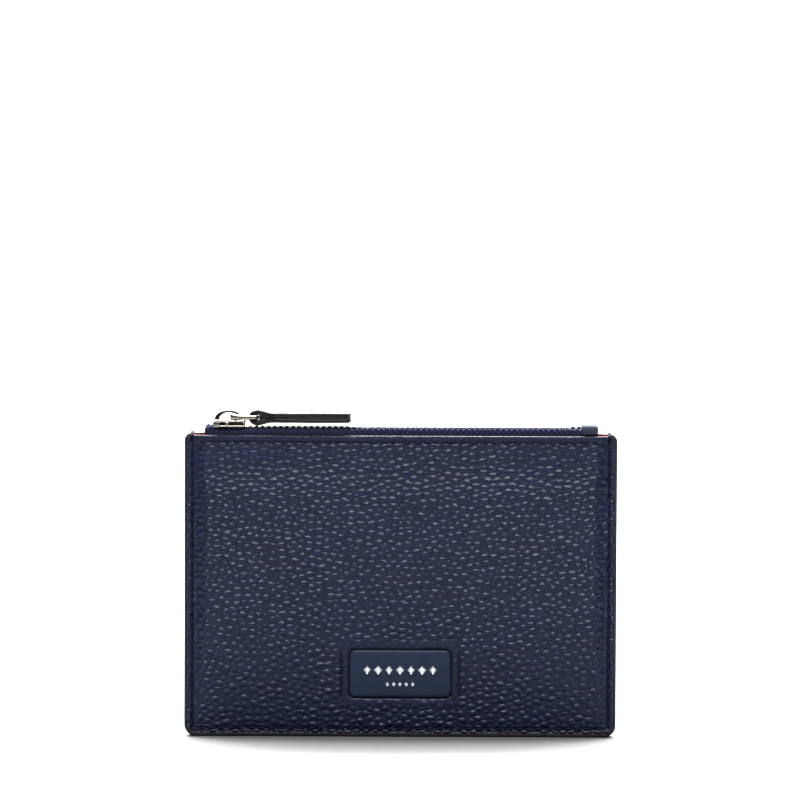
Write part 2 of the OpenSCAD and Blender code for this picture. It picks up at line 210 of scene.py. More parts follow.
def grained_leather(name):
    """Pebbled leather. The mesh carries the pebbles, and its grain attribute their colour, the painted shade
    in their creases and the painted shade in needle holes and seam grooves.
    """
    p = Paint(name, Specular_IOR_Level=0.5)
    grain = p.node("Attribute", attribute_name="grain")
    parts = p.node("SeparateColor", {"Color": grain.outputs["Color"]})
    height, pebble, hole = (parts.outputs[k] for k in ("Red", "Green", "Blue"))
    crown = p.mix(pebble, rgb(23, 35, 61), rgb(28, 34, 64))
    # Painted shade: where the relief is low, in the creases between pebbles, the colour turns dark.
    colour = p.mix(p.spread(height, 0.05, 0.6), rgb(15, 18, 36), crown)
    cloudy = p.vary(p.noise(90, 2.0), 0.9, 1.08)
    shade = p.node("CombineColor", {"Red": cloudy, "Green": cloudy, "Blue": cloudy}).outputs["Color"]
    colour = p.mix(1.0, colour, shade, "MULTIPLY")
    fine = p.noise(5200, 4.0)
    pores = p.node("TexVoronoi", {"Vector": p.place(), "Scale": 2600.0}).outputs["Distance"]
    skin = p.bump(pores, 0.35, 0.02)
    wrinkles = p.bump(p.noise(1.0, 3.0, p.scaled(420, 420, 2300)), 0.8, 0.08, skin)
    return p.finish(
        # Painted shade: needle holes and seam grooves are painted near-black.
        p.mix(hole, colour, rgb(9, 9, 16)),
        p.math("ADD", p.spread(height, 0.0, 1.0, 0.2, 0.0), p.vary(fine, 0.3, 0.39)),
        p.bump(fine, 0.4, 0.03, wrinkles),
    )


def smooth_leather(name, colour, other, rough):
    p = Paint(name, Specular_IOR_Level=0.4)
    fine = p.noise(3400, 5.0, roughness=0.6)
    cells = p.node("TexVoronoi", {"Vector": p.place(), "Scale": 1700.0}, feature="DISTANCE_TO_EDGE")
    skin = p.bump(p.spread(cells.outputs["Distance"], 0.0, 0.12), 0.12, 0.02)
    return p.finish(
        p.mix(p.vary(p.noise(260, 3.0)), colour, other),
        p.vary(fine, rough - 0.06, rough + 0.08),
        p.bump(fine, 0.25, 0.03, skin),
    )


def edge_coat(name, colour, other, rough):
    """Paint laid on a cut edge by hand: a little uneven, with a soft gloss."""
    p = Paint(name, Specular_IOR_Level=0.5)
    streaks = p.noise(1.0, 4.0, p.scaled(500, 2600, 900))
    return p.finish(
        p.mix(p.vary(streaks), colour, other),
        p.vary(p.noise(1500, 3.0), rough - 0.08, rough + 0.1),
        p.bump(streaks, 0.35, 0.06),
    )


def woven(name, colour, other, pitch_x, pitch_z, rough=0.85, depth=0.08):
    """Plain weave, as warp and weft waves that pass over each other. The colour goes dark in the weave's low
    places, a painted shade between the threads, with random fibre tone mixed in.
    """
    p = Paint(name, Specular_IOR_Level=0.25, Sheen_Weight=0.25, Sheen_Roughness=0.4)
    turns = math.pi / MM
    place = p.node("SeparateXYZ", {"Vector": p.place()})
    across = p.math("SINE", p.math("MULTIPLY", place.outputs["X"], turns / pitch_x))
    up = p.math("ADD", place.outputs["Y"], place.outputs["Z"])
    along = p.math("SINE", p.math("MULTIPLY", up, turns / pitch_z))
    crossing = p.math("MULTIPLY", across, along)
    ribs = p.math("ADD", p.math("ABSOLUTE", across), p.math("MULTIPLY", crossing, 0.6))
    fibres = p.noise(1.0, 3.0, p.scaled(9000, 2500, 2500))
    height = p.math("ADD", ribs, p.math("MULTIPLY", fibres, 0.7))
    return p.finish(
        # Painted shade between the threads, with random fibre tone.
        p.mix(p.spread(height, 0.2, 1.7), other, colour),
        p.vary(fibres, rough - 0.08, rough + 0.08),
        p.bump(height, 0.9, depth),
    )


def plated(name, colour, other, rough):
    p = Paint(name, Metallic=1.0, Specular_IOR_Level=0.5)
    return p.finish(
        p.mix(p.spread(p.noise(420, 3.0), 0.35, 0.65), colour, other),
        p.vary(p.noise(2600, 3.0), rough - 0.05, rough + 0.07),
        p.bump(p.noise(1500, 2.0), 0.05, 0.02),
    )


def spun_thread(name, colour, other):
    p = Paint(name, Specular_IOR_Level=0.2, Sheen_Weight=0.08, Sheen_Roughness=0.4)
    fibres = p.noise(1.0, 4.0, p.scaled(5200, 5200, 5200))
    return p.finish(p.mix(p.vary(fibres), colour, other), p.vary(fibres, 0.5, 0.7), p.bump(fibres, 0.5, 0.04))


def foil(name):
    p = Paint(name, Metallic=1.0)
    crackle = p.noise(2400, 5.0, roughness=0.7)
    colour = p.mix(p.spread(crackle, 0.4, 0.6), rgb(196, 196, 202), rgb(240, 240, 242))
    return p.finish(colour, p.vary(crackle, 0.3, 0.5), p.bump(crackle, 0.4, 0.02))


def pressed_board(name):
    p = Paint(name, Specular_IOR_Level=0.2)
    fibres = p.noise(1.0, 5.0, p.scaled(900, 900, 2600))
    colour = p.mix(fibres, rgb(120, 108, 96), rgb(158, 145, 130))
    return p.finish(colour, p.vary(fibres, 0.8, 0.95), p.bump(fibres, 0.5, 0.05))


def studio_white(name):
    p = Paint(name, Specular_IOR_Level=0.1)
    p.plug(p.mix(p.noise(3.0, 2.0), (*[0.192] * 3, 1), (*[0.197] * 3, 1)), p.shader.inputs["Base Color"])
    p.plug(p.spread(p.noise(20.0, 2.0), 0.0, 1.0, 0.85, 0.95), p.shader.inputs["Roughness"])
    return p.material


LEATHER = grained_leather("grained_navy")
PLAQUE_LEATHER = smooth_leather("plaque_navy", rgb(37, 48, 70), rgb(33, 44, 65), 0.52)
TAB_LEATHER = smooth_leather("end_tab_navy", rgb(46, 51, 67), rgb(41, 46, 61), 0.66)
# A darker copy of the navy leather for the pull: painted shade against the light on its top.
PULL_LEATHER_PAINTED_SHADE = smooth_leather("pull_navy", rgb(14, 16, 27), rgb(11, 13, 22), 0.62)
BODY_EDGE = edge_coat("body_edge_paint", rgb(56, 51, 53), rgb(40, 38, 42), 0.5)
MOUTH_EDGE = edge_coat("mouth_edge_paint", rgb(48, 46, 42), rgb(32, 31, 30), 0.6)
PULL_EDGE = edge_coat("pull_edge_paint", rgb(37, 32, 38), rgb(22, 19, 23), 0.36)
# Painted shade: a near-black coat for the block inside the slider's channel.
PAINTED_SHADE_RECESS = edge_coat("shadowed_recess", rgb(14, 13, 14), rgb(9, 8, 9), 0.6)
# The zip cord's near-black colour is painted shade in the gaps between the teeth.
CORD = spun_thread("zip_cord_painted_shade", rgb(20, 20, 36), rgb(12, 12, 24))
TAPE = woven("zip_tape_weave", rgb(58, 61, 88), rgb(15, 16, 31), 0.8, 0.9, depth=0.12)
LINING = woven("lining_weave", rgb(132, 16, 28), rgb(84, 8, 16), 0.3, 0.3, 0.7, 0.03)
NICKEL = plated("polished_nickel", rgb(172, 166, 160), rgb(188, 182, 176), 0.18)
# Darker copies of the slider's nickel for the link and the bail: painted shade.
LINK_NICKEL_PAINTED_SHADE = plated("link_nickel", rgb(136, 129, 121), rgb(152, 145, 137), 0.26)
BAIL_NICKEL_PAINTED_SHADE = plated("bail_nickel", rgb(70, 61, 56), rgb(84, 74, 68), 0.3)
TOOTH_NICKEL = plated("tooth_nickel", rgb(236, 230, 216), rgb(218, 212, 200), 0.42)
# A darker copy of the navy thread for the corner ties: painted shade that holds down their lit tops.
TIE_THREAD_PAINTED_SHADE = spun_thread("corner_thread", rgb(17, 17, 38), rgb(9, 9, 20))
THREAD = spun_thread("navy_thread", rgb(47, 47, 79), rgb(24, 23, 42))
FOIL = foil("silver_foil")
BOARD = pressed_board("bonded_board")


# ---------- meshes ----------


def add_object(name, data):
    made = bpy.data.objects.new(name, data)
    bpy.context.scene.collection.objects.link(made)
    return made


def piece(name, verts, faces, materials, body, replaced=(), face_materials=None, grain=None):
    """A mesh in millimetres becomes a piece that rides on a body and stands for CAD nodes."""
    mesh = bpy.data.meshes.new(name)
    mesh.from_pydata((np.asarray(verts) * MM).tolist(), [], faces)
    for material in materials:
        mesh.materials.append(material)
    if face_materials is not None:
        mesh.polygons.foreach_set("material_index", np.asarray(face_materials, np.int32))
    mesh.polygons.foreach_set("use_smooth", np.ones(len(mesh.polygons), bool))
    if grain is not None:
        attribute = mesh.attributes.new("grain", "FLOAT_COLOR", "POINT")
        rgba = np.ones((len(verts), 4), np.float32)
        rgba[:, :3] = grain
        attribute.data.foreach_set("color", rgba.ravel())
    mesh.validate()
    mesh.update()
    made = add_object(name, mesh)
    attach(made, body)
    if replaced:
        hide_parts(*replaced)
    return made


class Build:
    """Collects the vertices and faces of one piece from several closed forms."""

    def __init__(self):
        self.verts, self.faces, self.kinds = [], [], []
        self.count = 0

    def add(self, verts, faces, kind=0):
        verts = np.asarray(verts, float).reshape(-1, 3)
        self.verts.append(verts)
        self.faces += [tuple(i + self.count for i in face) for face in faces]
        self.kinds += list(kind) if np.ndim(kind) else [kind] * len(faces)
        self.count += len(verts)

    def piece(self, name, materials, slot, body, replaced=()):
        verts = np.concatenate(self.verts)
        return piece(name, verts, self.faces, materials, body, replaced, self.kinds)


def loft(rings, closed_path=False):
    """Faces round and along a stack of closed rings, an array of shape (stations, points, 3)."""
    stations, points = rings.shape[:2]
    faces = []
    last = stations if closed_path else stations - 1
    for s in range(last):
        a, b = s * points, ((s + 1) % stations) * points
        for k in range(points):
            n = (k + 1) % points
            faces.append((a + k, a + n, b + n, b + k))
    if not closed_path:
        faces.append(tuple(range(points - 1, -1, -1)))
        faces.append(tuple((stations - 1) * points + k for k in range(points)))
    return rings.reshape(-1, 3), faces


def grid_faces(index):
    """Quads between the points of a lattice of vertex numbers."""
    return np.stack([index[:-1, :-1], index[1:, :-1], index[1:, 1:], index[:-1, 1:]], 2)


def band(ring, new):
    """Quads between two rings of vertex numbers."""
    return list(zip(ring, new, new[1:] + new[:1], ring[1:] + ring[:1]))


def boundary(i0, i1, j0, j1):
    """Lattice points round a block of cells, anticlockwise in (x, z)."""
    return (
        [(i, j0) for i in range(i0, i1)] + [(i1, j) for j in range(j0, j1)]
        + [(i, j1) for i in range(i1, i0, -1)] + [(i0, j) for j in range(j1, j0, -1)]
    )


def spline(points, per_span):
    """A Catmull-Rom curve through the points."""
    pts = np.asarray(points, float)
    pts = np.vstack([2 * pts[0] - pts[1], pts, 2 * pts[-1] - pts[-2]])
    out = []
    for i in range(1, len(pts) - 2):
        a, b, c, d = pts[i - 1 : i + 3]
        for t in np.arange(per_span) / per_span:
            curve = (2 * a - 5 * b + 4 * c - d) * t**2 + (3 * b - a - 3 * c + d) * t**3
            out.append(0.5 * (2 * b + (c - a) * t + curve))
    out.append(pts[-2])
    return np.array(out)


def slab_section(half_width, half_thick, round_by, arc=6, flat=8):
    """Points of a slab's cross-section, from the middle of its top, with crowned sides."""
    r = min(round_by, half_thick)
    inner, stand = half_width - round_by, half_thick - r
    up = np.linspace(0, math.pi / 2, arc)
    right = [(inner + round_by * math.sin(a), stand + r * math.cos(a)) for a in up]
    right += [(w, -h) for w, h in reversed(right)]
    left = [(-w, h) for w, h in reversed(right)]
    across = np.linspace(-inner, inner, flat + 1)[1:-1]
    top = [(w, half_thick) for w in across]
    bottom = [(w, -half_thick) for w in across[::-1]]
    return np.array(top + right + bottom + left)


# ---------- leather ----------

# Pebbles are wider than high. They are thrown into a search grid of square cells.
GRAIN_STRETCH = 1.32
GRAIN_CELL = 2.8
GRAIN_MARGIN = 4.0
# Throws for each mm2, with the smallest and the largest radius.
GRAIN_THROWS = ((1.2, 1.0, 1.22), (1.0, 0.74, 1.0), (1.6, 0.42, 0.74))
READ_AT_ONCE = 20000
NOWHERE = 1e9


class Grain:
    """Pebbles of one hide: seed points with radii, thrown so that big ones come first."""

    def __init__(self, seed):
        rng = np.random.default_rng(seed)
        self.low = np.array([-BODY_W / 2 - GRAIN_MARGIN, -GRAIN_MARGIN * GRAIN_STRETCH])
        size = np.array([BODY_W + 2 * GRAIN_MARGIN, (BACK_TOP + 2 * GRAIN_MARGIN) * GRAIN_STRETCH])
        self.shape = np.ceil(size / GRAIN_CELL).astype(int) + 1
        self.cells = {}
        self.points, self.radii = [], []
        area = size[0] * size[1]
        for tries, low, high in GRAIN_THROWS:
            spots = self.low + rng.random((int(area * tries), 2)) * size
            for spot in spots:
                self.throw(spot, low, high)
        self.points, self.radii = np.array(self.points), np.array(self.radii)
        self.tints = rng.random(len(self.points))
        self.tilts = rng.normal(0, 0.16, (len(self.points), 2))
        self.lifts = rng.uniform(0.8, 1.1, len(self.points))
        most = max(len(c) for c in self.cells.values())
        self.table = np.full((self.shape[0] + 2, self.shape[1] + 2, most), -1)
        for (i, j), members in self.cells.items():
            self.table[i + 1, j + 1, : len(members)] = members

    def throw(self, spot, low, high):
        """Keeps a pebble at the spot if there is room for the smallest radius."""
        i, j = ((spot - self.low) / GRAIN_CELL).astype(int)
        room = high
        for di in (-1, 0, 1):
            for dj in (-1, 0, 1):
                for k in self.cells.get((i + di, j + dj), ()):
                    gap = math.dist(spot, self.points[k]) - self.radii[k]
                    if gap < low:
                        return
                    room = min(room, gap)
        self.cells.setdefault((i, j), []).append(len(self.points))
        self.points.append(spot)
        self.radii.append(room)

    def read(self, x, z):
        """Relief from 0 in the creases to about 1, and each pebble's tint, at (x, z)."""
        spots = np.stack([x.ravel(), z.ravel() * GRAIN_STRETCH], 1)
        cell = np.clip(((spots - self.low) / GRAIN_CELL).astype(int), 0, self.shape - 1)
        around = [(di, dj) for di in (0, 1, 2) for dj in (0, 1, 2)]
        near = np.concatenate([self.table[cell[:, 0] + di, cell[:, 1] + dj] for di, dj in around], axis=1)
        relief, tint = np.zeros(len(spots)), np.zeros(len(spots))
        for start in range(0, len(spots), READ_AT_ONCE):
            part = slice(start, start + READ_AT_ONCE)
            found = near[part]
            gap = spots[part, None] - self.points[found]
            power = (gap**2).sum(2) - self.radii[found] ** 2
            power[found < 0] = NOWHERE
            order = np.argpartition(power, 1, axis=1)[:, :2]
            pair = np.take_along_axis(power, order, 1)
            first, second = np.take_along_axis(found, order, 1).T
            apart = np.linalg.norm(self.points[first] - self.points[second], axis=1)
            border = (pair[:, 1] - pair[:, 0]) / (2 * np.maximum(apart, 0.2))
            radius = self.radii[first]
            rise = np.clip(border / (0.25 + 0.58 * radius), 0, 1)
            shoulder = 1 - (1 - rise) ** 2.1
            offset = (spots[part] - self.points[first]) / radius[:, None]
            dome = 1 + (offset * self.tilts[first]).sum(1)
            size = (0.35 + 0.6 * radius) * self.lifts[first]
            relief[part] = shoulder * dome * size
            tint[part] = self.tints[first]
        return relief.reshape(x.shape), tint.reshape(x.shape)


def lines(*marks):
    """Lattice lines through the marks, each mark as (place, step from there on)."""
    out = []
    for (a, step), (b, _) in zip(marks, marks[1:]):
        n = max(1, round((b - a) / step))
        out += list(np.linspace(a, b, n + 1)[:-1])
    return np.array(out + [marks[-1][0]])


def round_corner(x, z, corner_x, corner_z, sz, r):
    """Moves lattice points in a corner's square onto its quarter disc; sz is 1 at a top corner, else -1."""
    sx = np.sign(corner_x)
    cx, cz = corner_x - sx * r, corner_z - sz * r
    u, v = np.clip((x - cx) * sx / r, 0, 1), np.clip((z - cz) * sz / r, 0, 1)
    inside = ((x - cx) * sx > 0) & ((z - cz) * sz > 0)
    x = np.where(inside, cx + sx * r * u * np.sqrt(1 - v * v / 2), x)
    z = np.where(inside, cz + sz * r * v * np.sqrt(1 - u * u / 2), z)
    return x, z


def round_window(x, z, falloff=1.6):
    """Moves lattice points round the window's corners so that they are round."""
    low_x, high_x, low_z, high_z = WINDOW
    r = WINDOW_R
    dx, dz = np.zeros_like(x), np.zeros_like(z)
    for sx, edge_x in ((-1, low_x), (1, high_x)):
        for sz, edge_z in ((-1, low_z), (1, high_z)):
            u, v = (x - edge_x) * sx + r, (z - edge_z) * sz + r
            cu, cv = np.clip(u, 0, r) / r, np.clip(v, 0, r) / r
            beyond = np.maximum(np.maximum(u, v) - r, 0)
            near = np.where((u > 0) & (v > 0), np.exp(-((beyond / falloff) ** 2)), 0)
            dx += sx * near * r * cu * (np.sqrt(1 - cv * cv / 2) - 1)
            dz += sz * near * r * cv * (np.sqrt(1 - cu * cu / 2) - 1)
    return x + dx, z + dz


def window_distance(x, z):
    """How far a point is outside the window's box."""
    low_x, high_x, low_z, high_z = WINDOW
    return np.maximum(np.maximum(low_x - x, x - high_x), np.maximum(low_z - z, z - high_z))


class Seam:
    """A row of stitches on one face, as start and end points in (x, z)."""

    def __init__(self, start, end, pitch, slant=0.12, filled=0.46):
        start, end = np.array(start, float), np.array(end, float)
        self.start, self.length = start, np.linalg.norm(end - start)
        n = max(1, round(self.length / pitch))
        self.way = (end - start) / self.length
        self.pitch = self.length / n
        side = np.array([-self.way[1], self.way[0]])
        middles = start + self.way * self.pitch * (np.arange(n)[:, None] + 0.5)
        reach = self.way * self.pitch * filled + side * slant
        self.starts, self.ends = middles - reach, middles + reach

    def mark(self, x, z):
        """How strongly the seam's groove and its needle holes mark the leather at (x, z)."""
        dx, dz = x - self.start[0], z - self.start[1]
        along = dx * self.way[0] + dz * self.way[1]
        off = dz * self.way[0] - dx * self.way[1]
        outside = np.maximum(np.maximum(-along, along - self.length), 0)
        groove = np.exp(-((off / 0.42) ** 2) - (outside / 0.4) ** 2)
        phase = (along / self.pitch - np.round(along / self.pitch)) * self.pitch
        tilted = off + 0.35 * phase
        hole = np.exp(-((phase / 0.5) ** 2) - (tilted / 0.26) ** 2 - (outside / 0.3) ** 2)
        return groove, hole


def edge_drop(x, z, xs, zs, reach):
    """How far the outer face rounds over towards the sides and bottom."""
    away = np.minimum(np.minimum(x - xs[0], xs[-1] - x), z - zs[0])
    t = np.clip(1 - away / reach, 0, 1)
    return 0.42 * (1 - np.sqrt(1 - t * t * 0.9))


GROOVE_DEPTH, HOLE_DEPTH = 0.12, 0.3
RIM_STEPS = 5
INNER_STRIDE = 12
HIDDEN_GRAIN = (0.6, 0.5, 0.0)


def leather_sheet(name, side, xs, zs, layer, grain, strength, seams, replaced,
                  corners=(), hole=False, calm=None, drop=0.9, edge=0.3, rim=MOUTH_EDGE):
    """A pebbled leather panel: a fine outer face, a rounded rim and a plain inner face."""
    inner, outer = layer
    x, z = np.meshgrid(xs, zs, indexing="ij")
    for corner in corners:
        x, z = round_corner(x, z, *corner)
    if hole:
        x, z = round_window(x, z)
    relief, tint = grain.read(x, z)
    fade = strength * (calm(x, z) if calm else 1.0)
    mark, needle = np.zeros_like(x), np.zeros_like(x)
    for seam in seams:
        groove, holes = seam.mark(x, z)
        mark, needle = np.maximum(mark, groove), np.maximum(needle, holes)
    relief = relief * (1 - 0.45 * mark)
    depth = outer + bulge(x, z) + (relief - 0.75) * fade - GROOVE_DEPTH * mark - HOLE_DEPTH * needle
    depth -= edge_drop(x, z, xs, zs, drop)

    # The outer face, with the window's cells left out.
    nx, nz = x.shape
    keep = np.ones((nx - 1, nz - 1), bool)
    loops = [boundary(0, nx - 1, 0, nz - 1)]
    hole_i = hole_j = ()
    if hole:
        hole_i = [int(np.argmin(abs(xs - edge_x))) for edge_x in WINDOW[:2]]
        hole_j = [int(np.argmin(abs(zs - edge_z))) for edge_z in WINDOW[2:]]
        keep[slice(*hole_i), slice(*hole_j)] = False
        loops.append(boundary(*hole_i, *hole_j)[::-1])
        depth -= 0.25 * np.exp(-np.clip(window_distance(x, z), 0, 9) / 0.45)
    index = np.arange(nx * nz).reshape(nx, nz)
    verts = [at_depth(x, depth, z, side).reshape(-1, 3)]
    # Grain colours: the relief, which also sets the painted shade in the creases, the pebble's tint, and the
    # painted shade in needle holes and seam grooves.
    painted_hole_shade = np.clip(needle * 1.8 + 0.3 * mark, 0, 1)
    colours = [np.stack([np.clip(relief, 0, 1), tint, painted_hole_shade], 2).reshape(-1, 3)]
    turned = [0, 1, 2, 3] if side == FRONT else [0, 3, 2, 1]
    faces = grid_faces(index)[keep][:, turned].tolist()
    kinds = [0] * len(faces)

    # The rims, round the sheet and round the window.
    count = nx * nz
    inner_ids = {}
    for loop in loops:
        spots = np.array([(x[i, j], z[i, j]) for i, j in loop])
        depths = np.array([depth[i, j] for i, j in loop])
        under = inner + bulge(spots[:, 0], spots[:, 1])
        way = np.roll(spots, -1, 0) - np.roll(spots, 1, 0)
        out = np.stack([way[:, 1], -way[:, 0]], 1)
        out /= np.linalg.norm(out, axis=1)[:, None]
        ring = [index[i, j] for i, j in loop]
        for turn in math.pi * np.arange(1, RIM_STEPS + 1) / RIM_STEPS:
            spread = spots + out * edge * math.sin(turn)
            level = depths + (under - depths) * (1 - math.cos(turn)) / 2
            verts.append(at_depth(spread[:, 0], level, spread[:, 1], side))
            colours.append(np.tile(HIDDEN_GRAIN, (len(loop), 1)))
            new = list(range(count, count + len(loop)))
            count += len(loop)
            faces += [quad[::-side] for quad in band(ring, new)]
            kinds += [1] * len(loop)
            ring = new
        inner_ids.update(zip(loop, ring))

    # The inner face, in wide blocks that share the rims' last points.
    marks_i = sorted({*range(0, nx, INNER_STRIDE), nx - 1, *hole_i})
    marks_j = sorted({*range(0, nz, INNER_STRIDE), nz - 1, *hole_j})
    extra = {}
    for ia, ib in zip(marks_i, marks_i[1:]):
        for ja, jb in zip(marks_j, marks_j[1:]):
            if not keep[ia, ja]:
                continue
            face = []
            for i, j in boundary(ia, ib, ja, jb):
                if (i, j) in inner_ids:
                    face.append(inner_ids[i, j])
                elif i in (ia, ib) and j in (ja, jb):
                    face.append(extra.setdefault((i, j), count + len(extra)))
            faces.append(tuple(face[::side]))
            kinds.append(0)
    if extra:
        at = np.array(list(extra))
        ex, ez = x[at[:, 0], at[:, 1]], z[at[:, 0], at[:, 1]]
        verts.append(at_depth(ex, inner + bulge(ex, ez), ez, side))
        colours.append(np.tile(HIDDEN_GRAIN, (len(at), 1)))
    piece(name, np.concatenate(verts), faces, [LEATHER, rim], "pouch",
          replaced, kinds, np.concatenate(colours))


# Lattice steps, and the panels' outlines inside the painted edge.
STEP_X, STEP_Z, FINE, EDGE_STEP = 0.42, 0.33, 0.14, 0.25
INSET = 0.3
HALF = BODY_W / 2 - INSET - 0.25
LOW_Z = PANEL_LOW[2] + 0.85
BOTTOM_CORNER, TOP_CORNER = 3.1, 2.0

# Seams: places in (x, z), and stitch pitches.
SEAM_X, SEAM_LOW, MOUTH_SEAM_X, MOUTH_SEAM_DROP = 62.7, 2.6, 60.6, 2.0
CARD_SEAM_X, PLAQUE_SEAM_X = 46.5, 17.75
SIDE_PITCH, BOTTOM_PITCH, MOUTH_PITCH, SHORT_PITCH = 3.0, 2.95, 3.4, 3.3


def mouth_seam(top):
    return Seam((-MOUTH_SEAM_X, top - MOUTH_SEAM_DROP), (MOUTH_SEAM_X, top - MOUTH_SEAM_DROP), MOUTH_PITCH)


def seam_pair(x, low, high, pitch):
    """Two upright seams, left and right."""
    return [Seam((s * x, low), (s * x, high), pitch) for s in (-1, 1)]


side_seams = seam_pair(SEAM_X, 3.0, 88.2, SIDE_PITCH)
bottom_seam = Seam((-61.2, SEAM_LOW), (61.2, SEAM_LOW), BOTTOM_PITCH)
front_mouth_seam, back_mouth_seam = mouth_seam(FRONT_TOP), mouth_seam(BACK_TOP)
plaque_seams = seam_pair(PLAQUE_SEAM_X, 12.5, 25.9, SHORT_PITCH)
card_seams = seam_pair(CARD_SEAM_X, 8.2, SLOT_MOUTHS[2] - 0.6, SHORT_PITCH)


def edge_calm(x, z, top):
    """How much of the grain is left along a mouth and a little in from the sides."""
    return (1 - 0.6 * smooth((z - (top - 3.0)) / 1.2)) * (1 - 0.3 * smooth((np.abs(x) - 60.5) / 2.0))


def front_calm(x, z):
    """Where the front's grain is pressed flat: round the plaque, at its edges and high up."""
    plaque = 1 - 0.55 * smooth(1 - (window_distance(x, z) - 1.2) / 2.0)
    high = 1 - 0.22 * smooth((z - 66.0) / 18.0)
    slow = 1.0 + 0.12 * np.sin(x * 0.071 + 1.3) * np.sin(z * 0.083 + 0.4)
    slow -= 0.1 * smooth((-x - 30) / 30) * smooth((z - 60) / 30)
    return plaque * edge_calm(x, z, FRONT_TOP) * high * slow


def back_calm(x, z):
    return edge_calm(x, z, BACK_TOP)


def lines_x(marks=()):
    """Lattice lines across a panel, finer at the side seams."""
    inner = [(m, STEP_X) for m in (-SEAM_X + 0.5, *marks)]
    ends = ((SEAM_X - 0.5, FINE), (SEAM_X + 0.5, EDGE_STEP), (HALF, EDGE_STEP))
    return lines((-HALF, EDGE_STEP), (-SEAM_X - 0.5, FINE), *inner, *ends)


def mouth_lines(top):
    """Lattice marks at a mouth, finer at its seam."""
    return (top - 2.5, FINE), (top - 1.5, 0.24), (top - INSET, STEP_Z)


def corner_pair(z, sz, r):
    return [(s * HALF, z, sz, r) for s in (-1, 1)]


BOTTOM_LINES = ((LOW_Z, STEP_Z), (2.1, FINE), (3.1, STEP_Z))
bottom_corners = corner_pair(LOW_Z, -1, BOTTOM_CORNER)
front_grain, back_grain, strip_grain = Grain(11), Grain(29), Grain(47)
leather_sheet(
    "front_panel_leather", FRONT, lines_x(WINDOW[:2]),
    lines(*BOTTOM_LINES, (WINDOW[2], STEP_Z), (WINDOW[3], STEP_Z), *mouth_lines(FRONT_TOP)),
    (LEATHER_IN, FRONT_OUT), front_grain, 0.5, [*side_seams, bottom_seam, front_mouth_seam, *plaque_seams],
    ["front_panel"], bottom_corners + corner_pair(FRONT_TOP - INSET, 1, TOP_CORNER),
    hole=True, calm=front_calm,
)
leather_sheet(
    "back_panel_leather", BACK, lines_x(), lines((LOW_Z, 1.2), (48.0, STEP_Z), *mouth_lines(BACK_TOP)),
    (LEATHER_IN, BACK_OUT), back_grain, 0.5, [*side_seams, back_mouth_seam],
    ["back_panel"], bottom_corners + corner_pair(BACK_TOP - INSET, 1, TOP_CORNER), calm=back_calm,
)
for node, layer, low, high in (("slot_strip_1", STRIP_1, 62.4, 72.0), ("slot_strip_2", STRIP_2, 52.4, 62.0)):
    leather_sheet(
        node + "_leather", BACK, lines_x(), lines((low + 0.2, STEP_Z), (high - 0.2, STEP_Z)),
        layer, strip_grain, 0.42, side_seams, [node], edge=0.2, drop=0.4, rim=BODY_EDGE,
    )
leather_sheet(
    "slot_pocket_leather", BACK, lines_x(), lines(*BOTTOM_LINES, (SLOT_MOUTHS[2] - 0.2, STEP_Z)),
    POCKET, back_grain, 0.5, [*side_seams, bottom_seam, *card_seams], ["slot_pocket_front"], bottom_corners,
    edge=0.2, rim=BODY_EDGE,
)


# ---------- threads ----------

THREAD_R = 0.23
PLIES = 3


def ply_radius(turn, twist):
    """Radius round a twisted thread, with a swelling for each ply."""
    return THREAD_R * (1 + 0.13 * np.cos(PLIES * (turn[None] - twist)))


def stitch_rings(start, end, side, layer, rise=0.16, sink=0.42, points=10, stations=13):
    """One stitch of twisted thread that comes out of one needle hole and goes into the next."""
    t = np.linspace(0, 1, stations)
    line = start + (end - start) * t[:, None]
    way = (end - start) / np.linalg.norm(end - start)
    arch = np.sin(math.pi * t) ** 0.45
    level = layer + bulge(line[:, 0], line[:, 1]) - 0.05 - sink + (sink + rise) * arch
    turn = circle(points)
    r = ply_radius(turn, 2 * math.pi * 1.1 * t[:, None]) * (0.72 + 0.28 * arch[:, None])
    across = np.array([-way[1], way[0]])
    xz = line[:, None] + across * (r * np.cos(turn))[..., None]
    return at_depth(xz[..., 0], level[:, None] + r * np.sin(turn), xz[..., 1], side)[:, ::-side]


def add_seam(build, seam, side, layer_at):
    """Adds a seam's stitches; layer_at gives the depth of the leather under a stitch, before the bulge."""
    for start, end in zip(seam.starts, seam.ends):
        build.add(*loft(stitch_rings(start, end, side, layer_at(max(start[1], end[1])))))


def back_depth(z):
    """Depth of the back's outermost leather at height z, before the bulge."""
    for mouth, layer in zip(SLOT_MOUTHS, (BACK_OUT, STRIP_1[1], STRIP_2[1])):
        if z > mouth:
            return layer
    return POCKET[1]


def wrap_rings(x, points=10):
    """The thread that ties a corner of the mouth, over the top edges of both panels."""
    front, back = FRONT_OUT + 0.12, BACK_OUT + 0.12
    path = spline([
        (-front + 0.5, FRONT_TOP - 2.3), (-front - 0.08, FRONT_TOP - 1.8), (-front - 0.1, FRONT_TOP - 0.8),
        (-front + 0.25, FRONT_TOP + 0.02), (-0.6, BACK_TOP + 0.2), (back - 0.3, BACK_TOP + 0.22),
        (back + 0.1, BACK_TOP - 0.8), (back + 0.08, BACK_TOP - 2.5), (back - 0.5, BACK_TOP - 3.1),
    ], 5)
    way = directions(path)
    t = np.linspace(0, 1, len(path))[:, None]
    turn = circle(points)
    r = ply_radius(turn, 2 * math.pi * 3 * t)
    xs = x + 0.3 * (t - 0.5) + r * np.cos(turn)
    y = SEAM_Y + path[:, :1] - r * np.sin(turn) * way[:, 1:]
    z = path[:, 1:] + r * np.sin(turn) * way[:, :1]
    return np.stack([xs, y, z], 2)


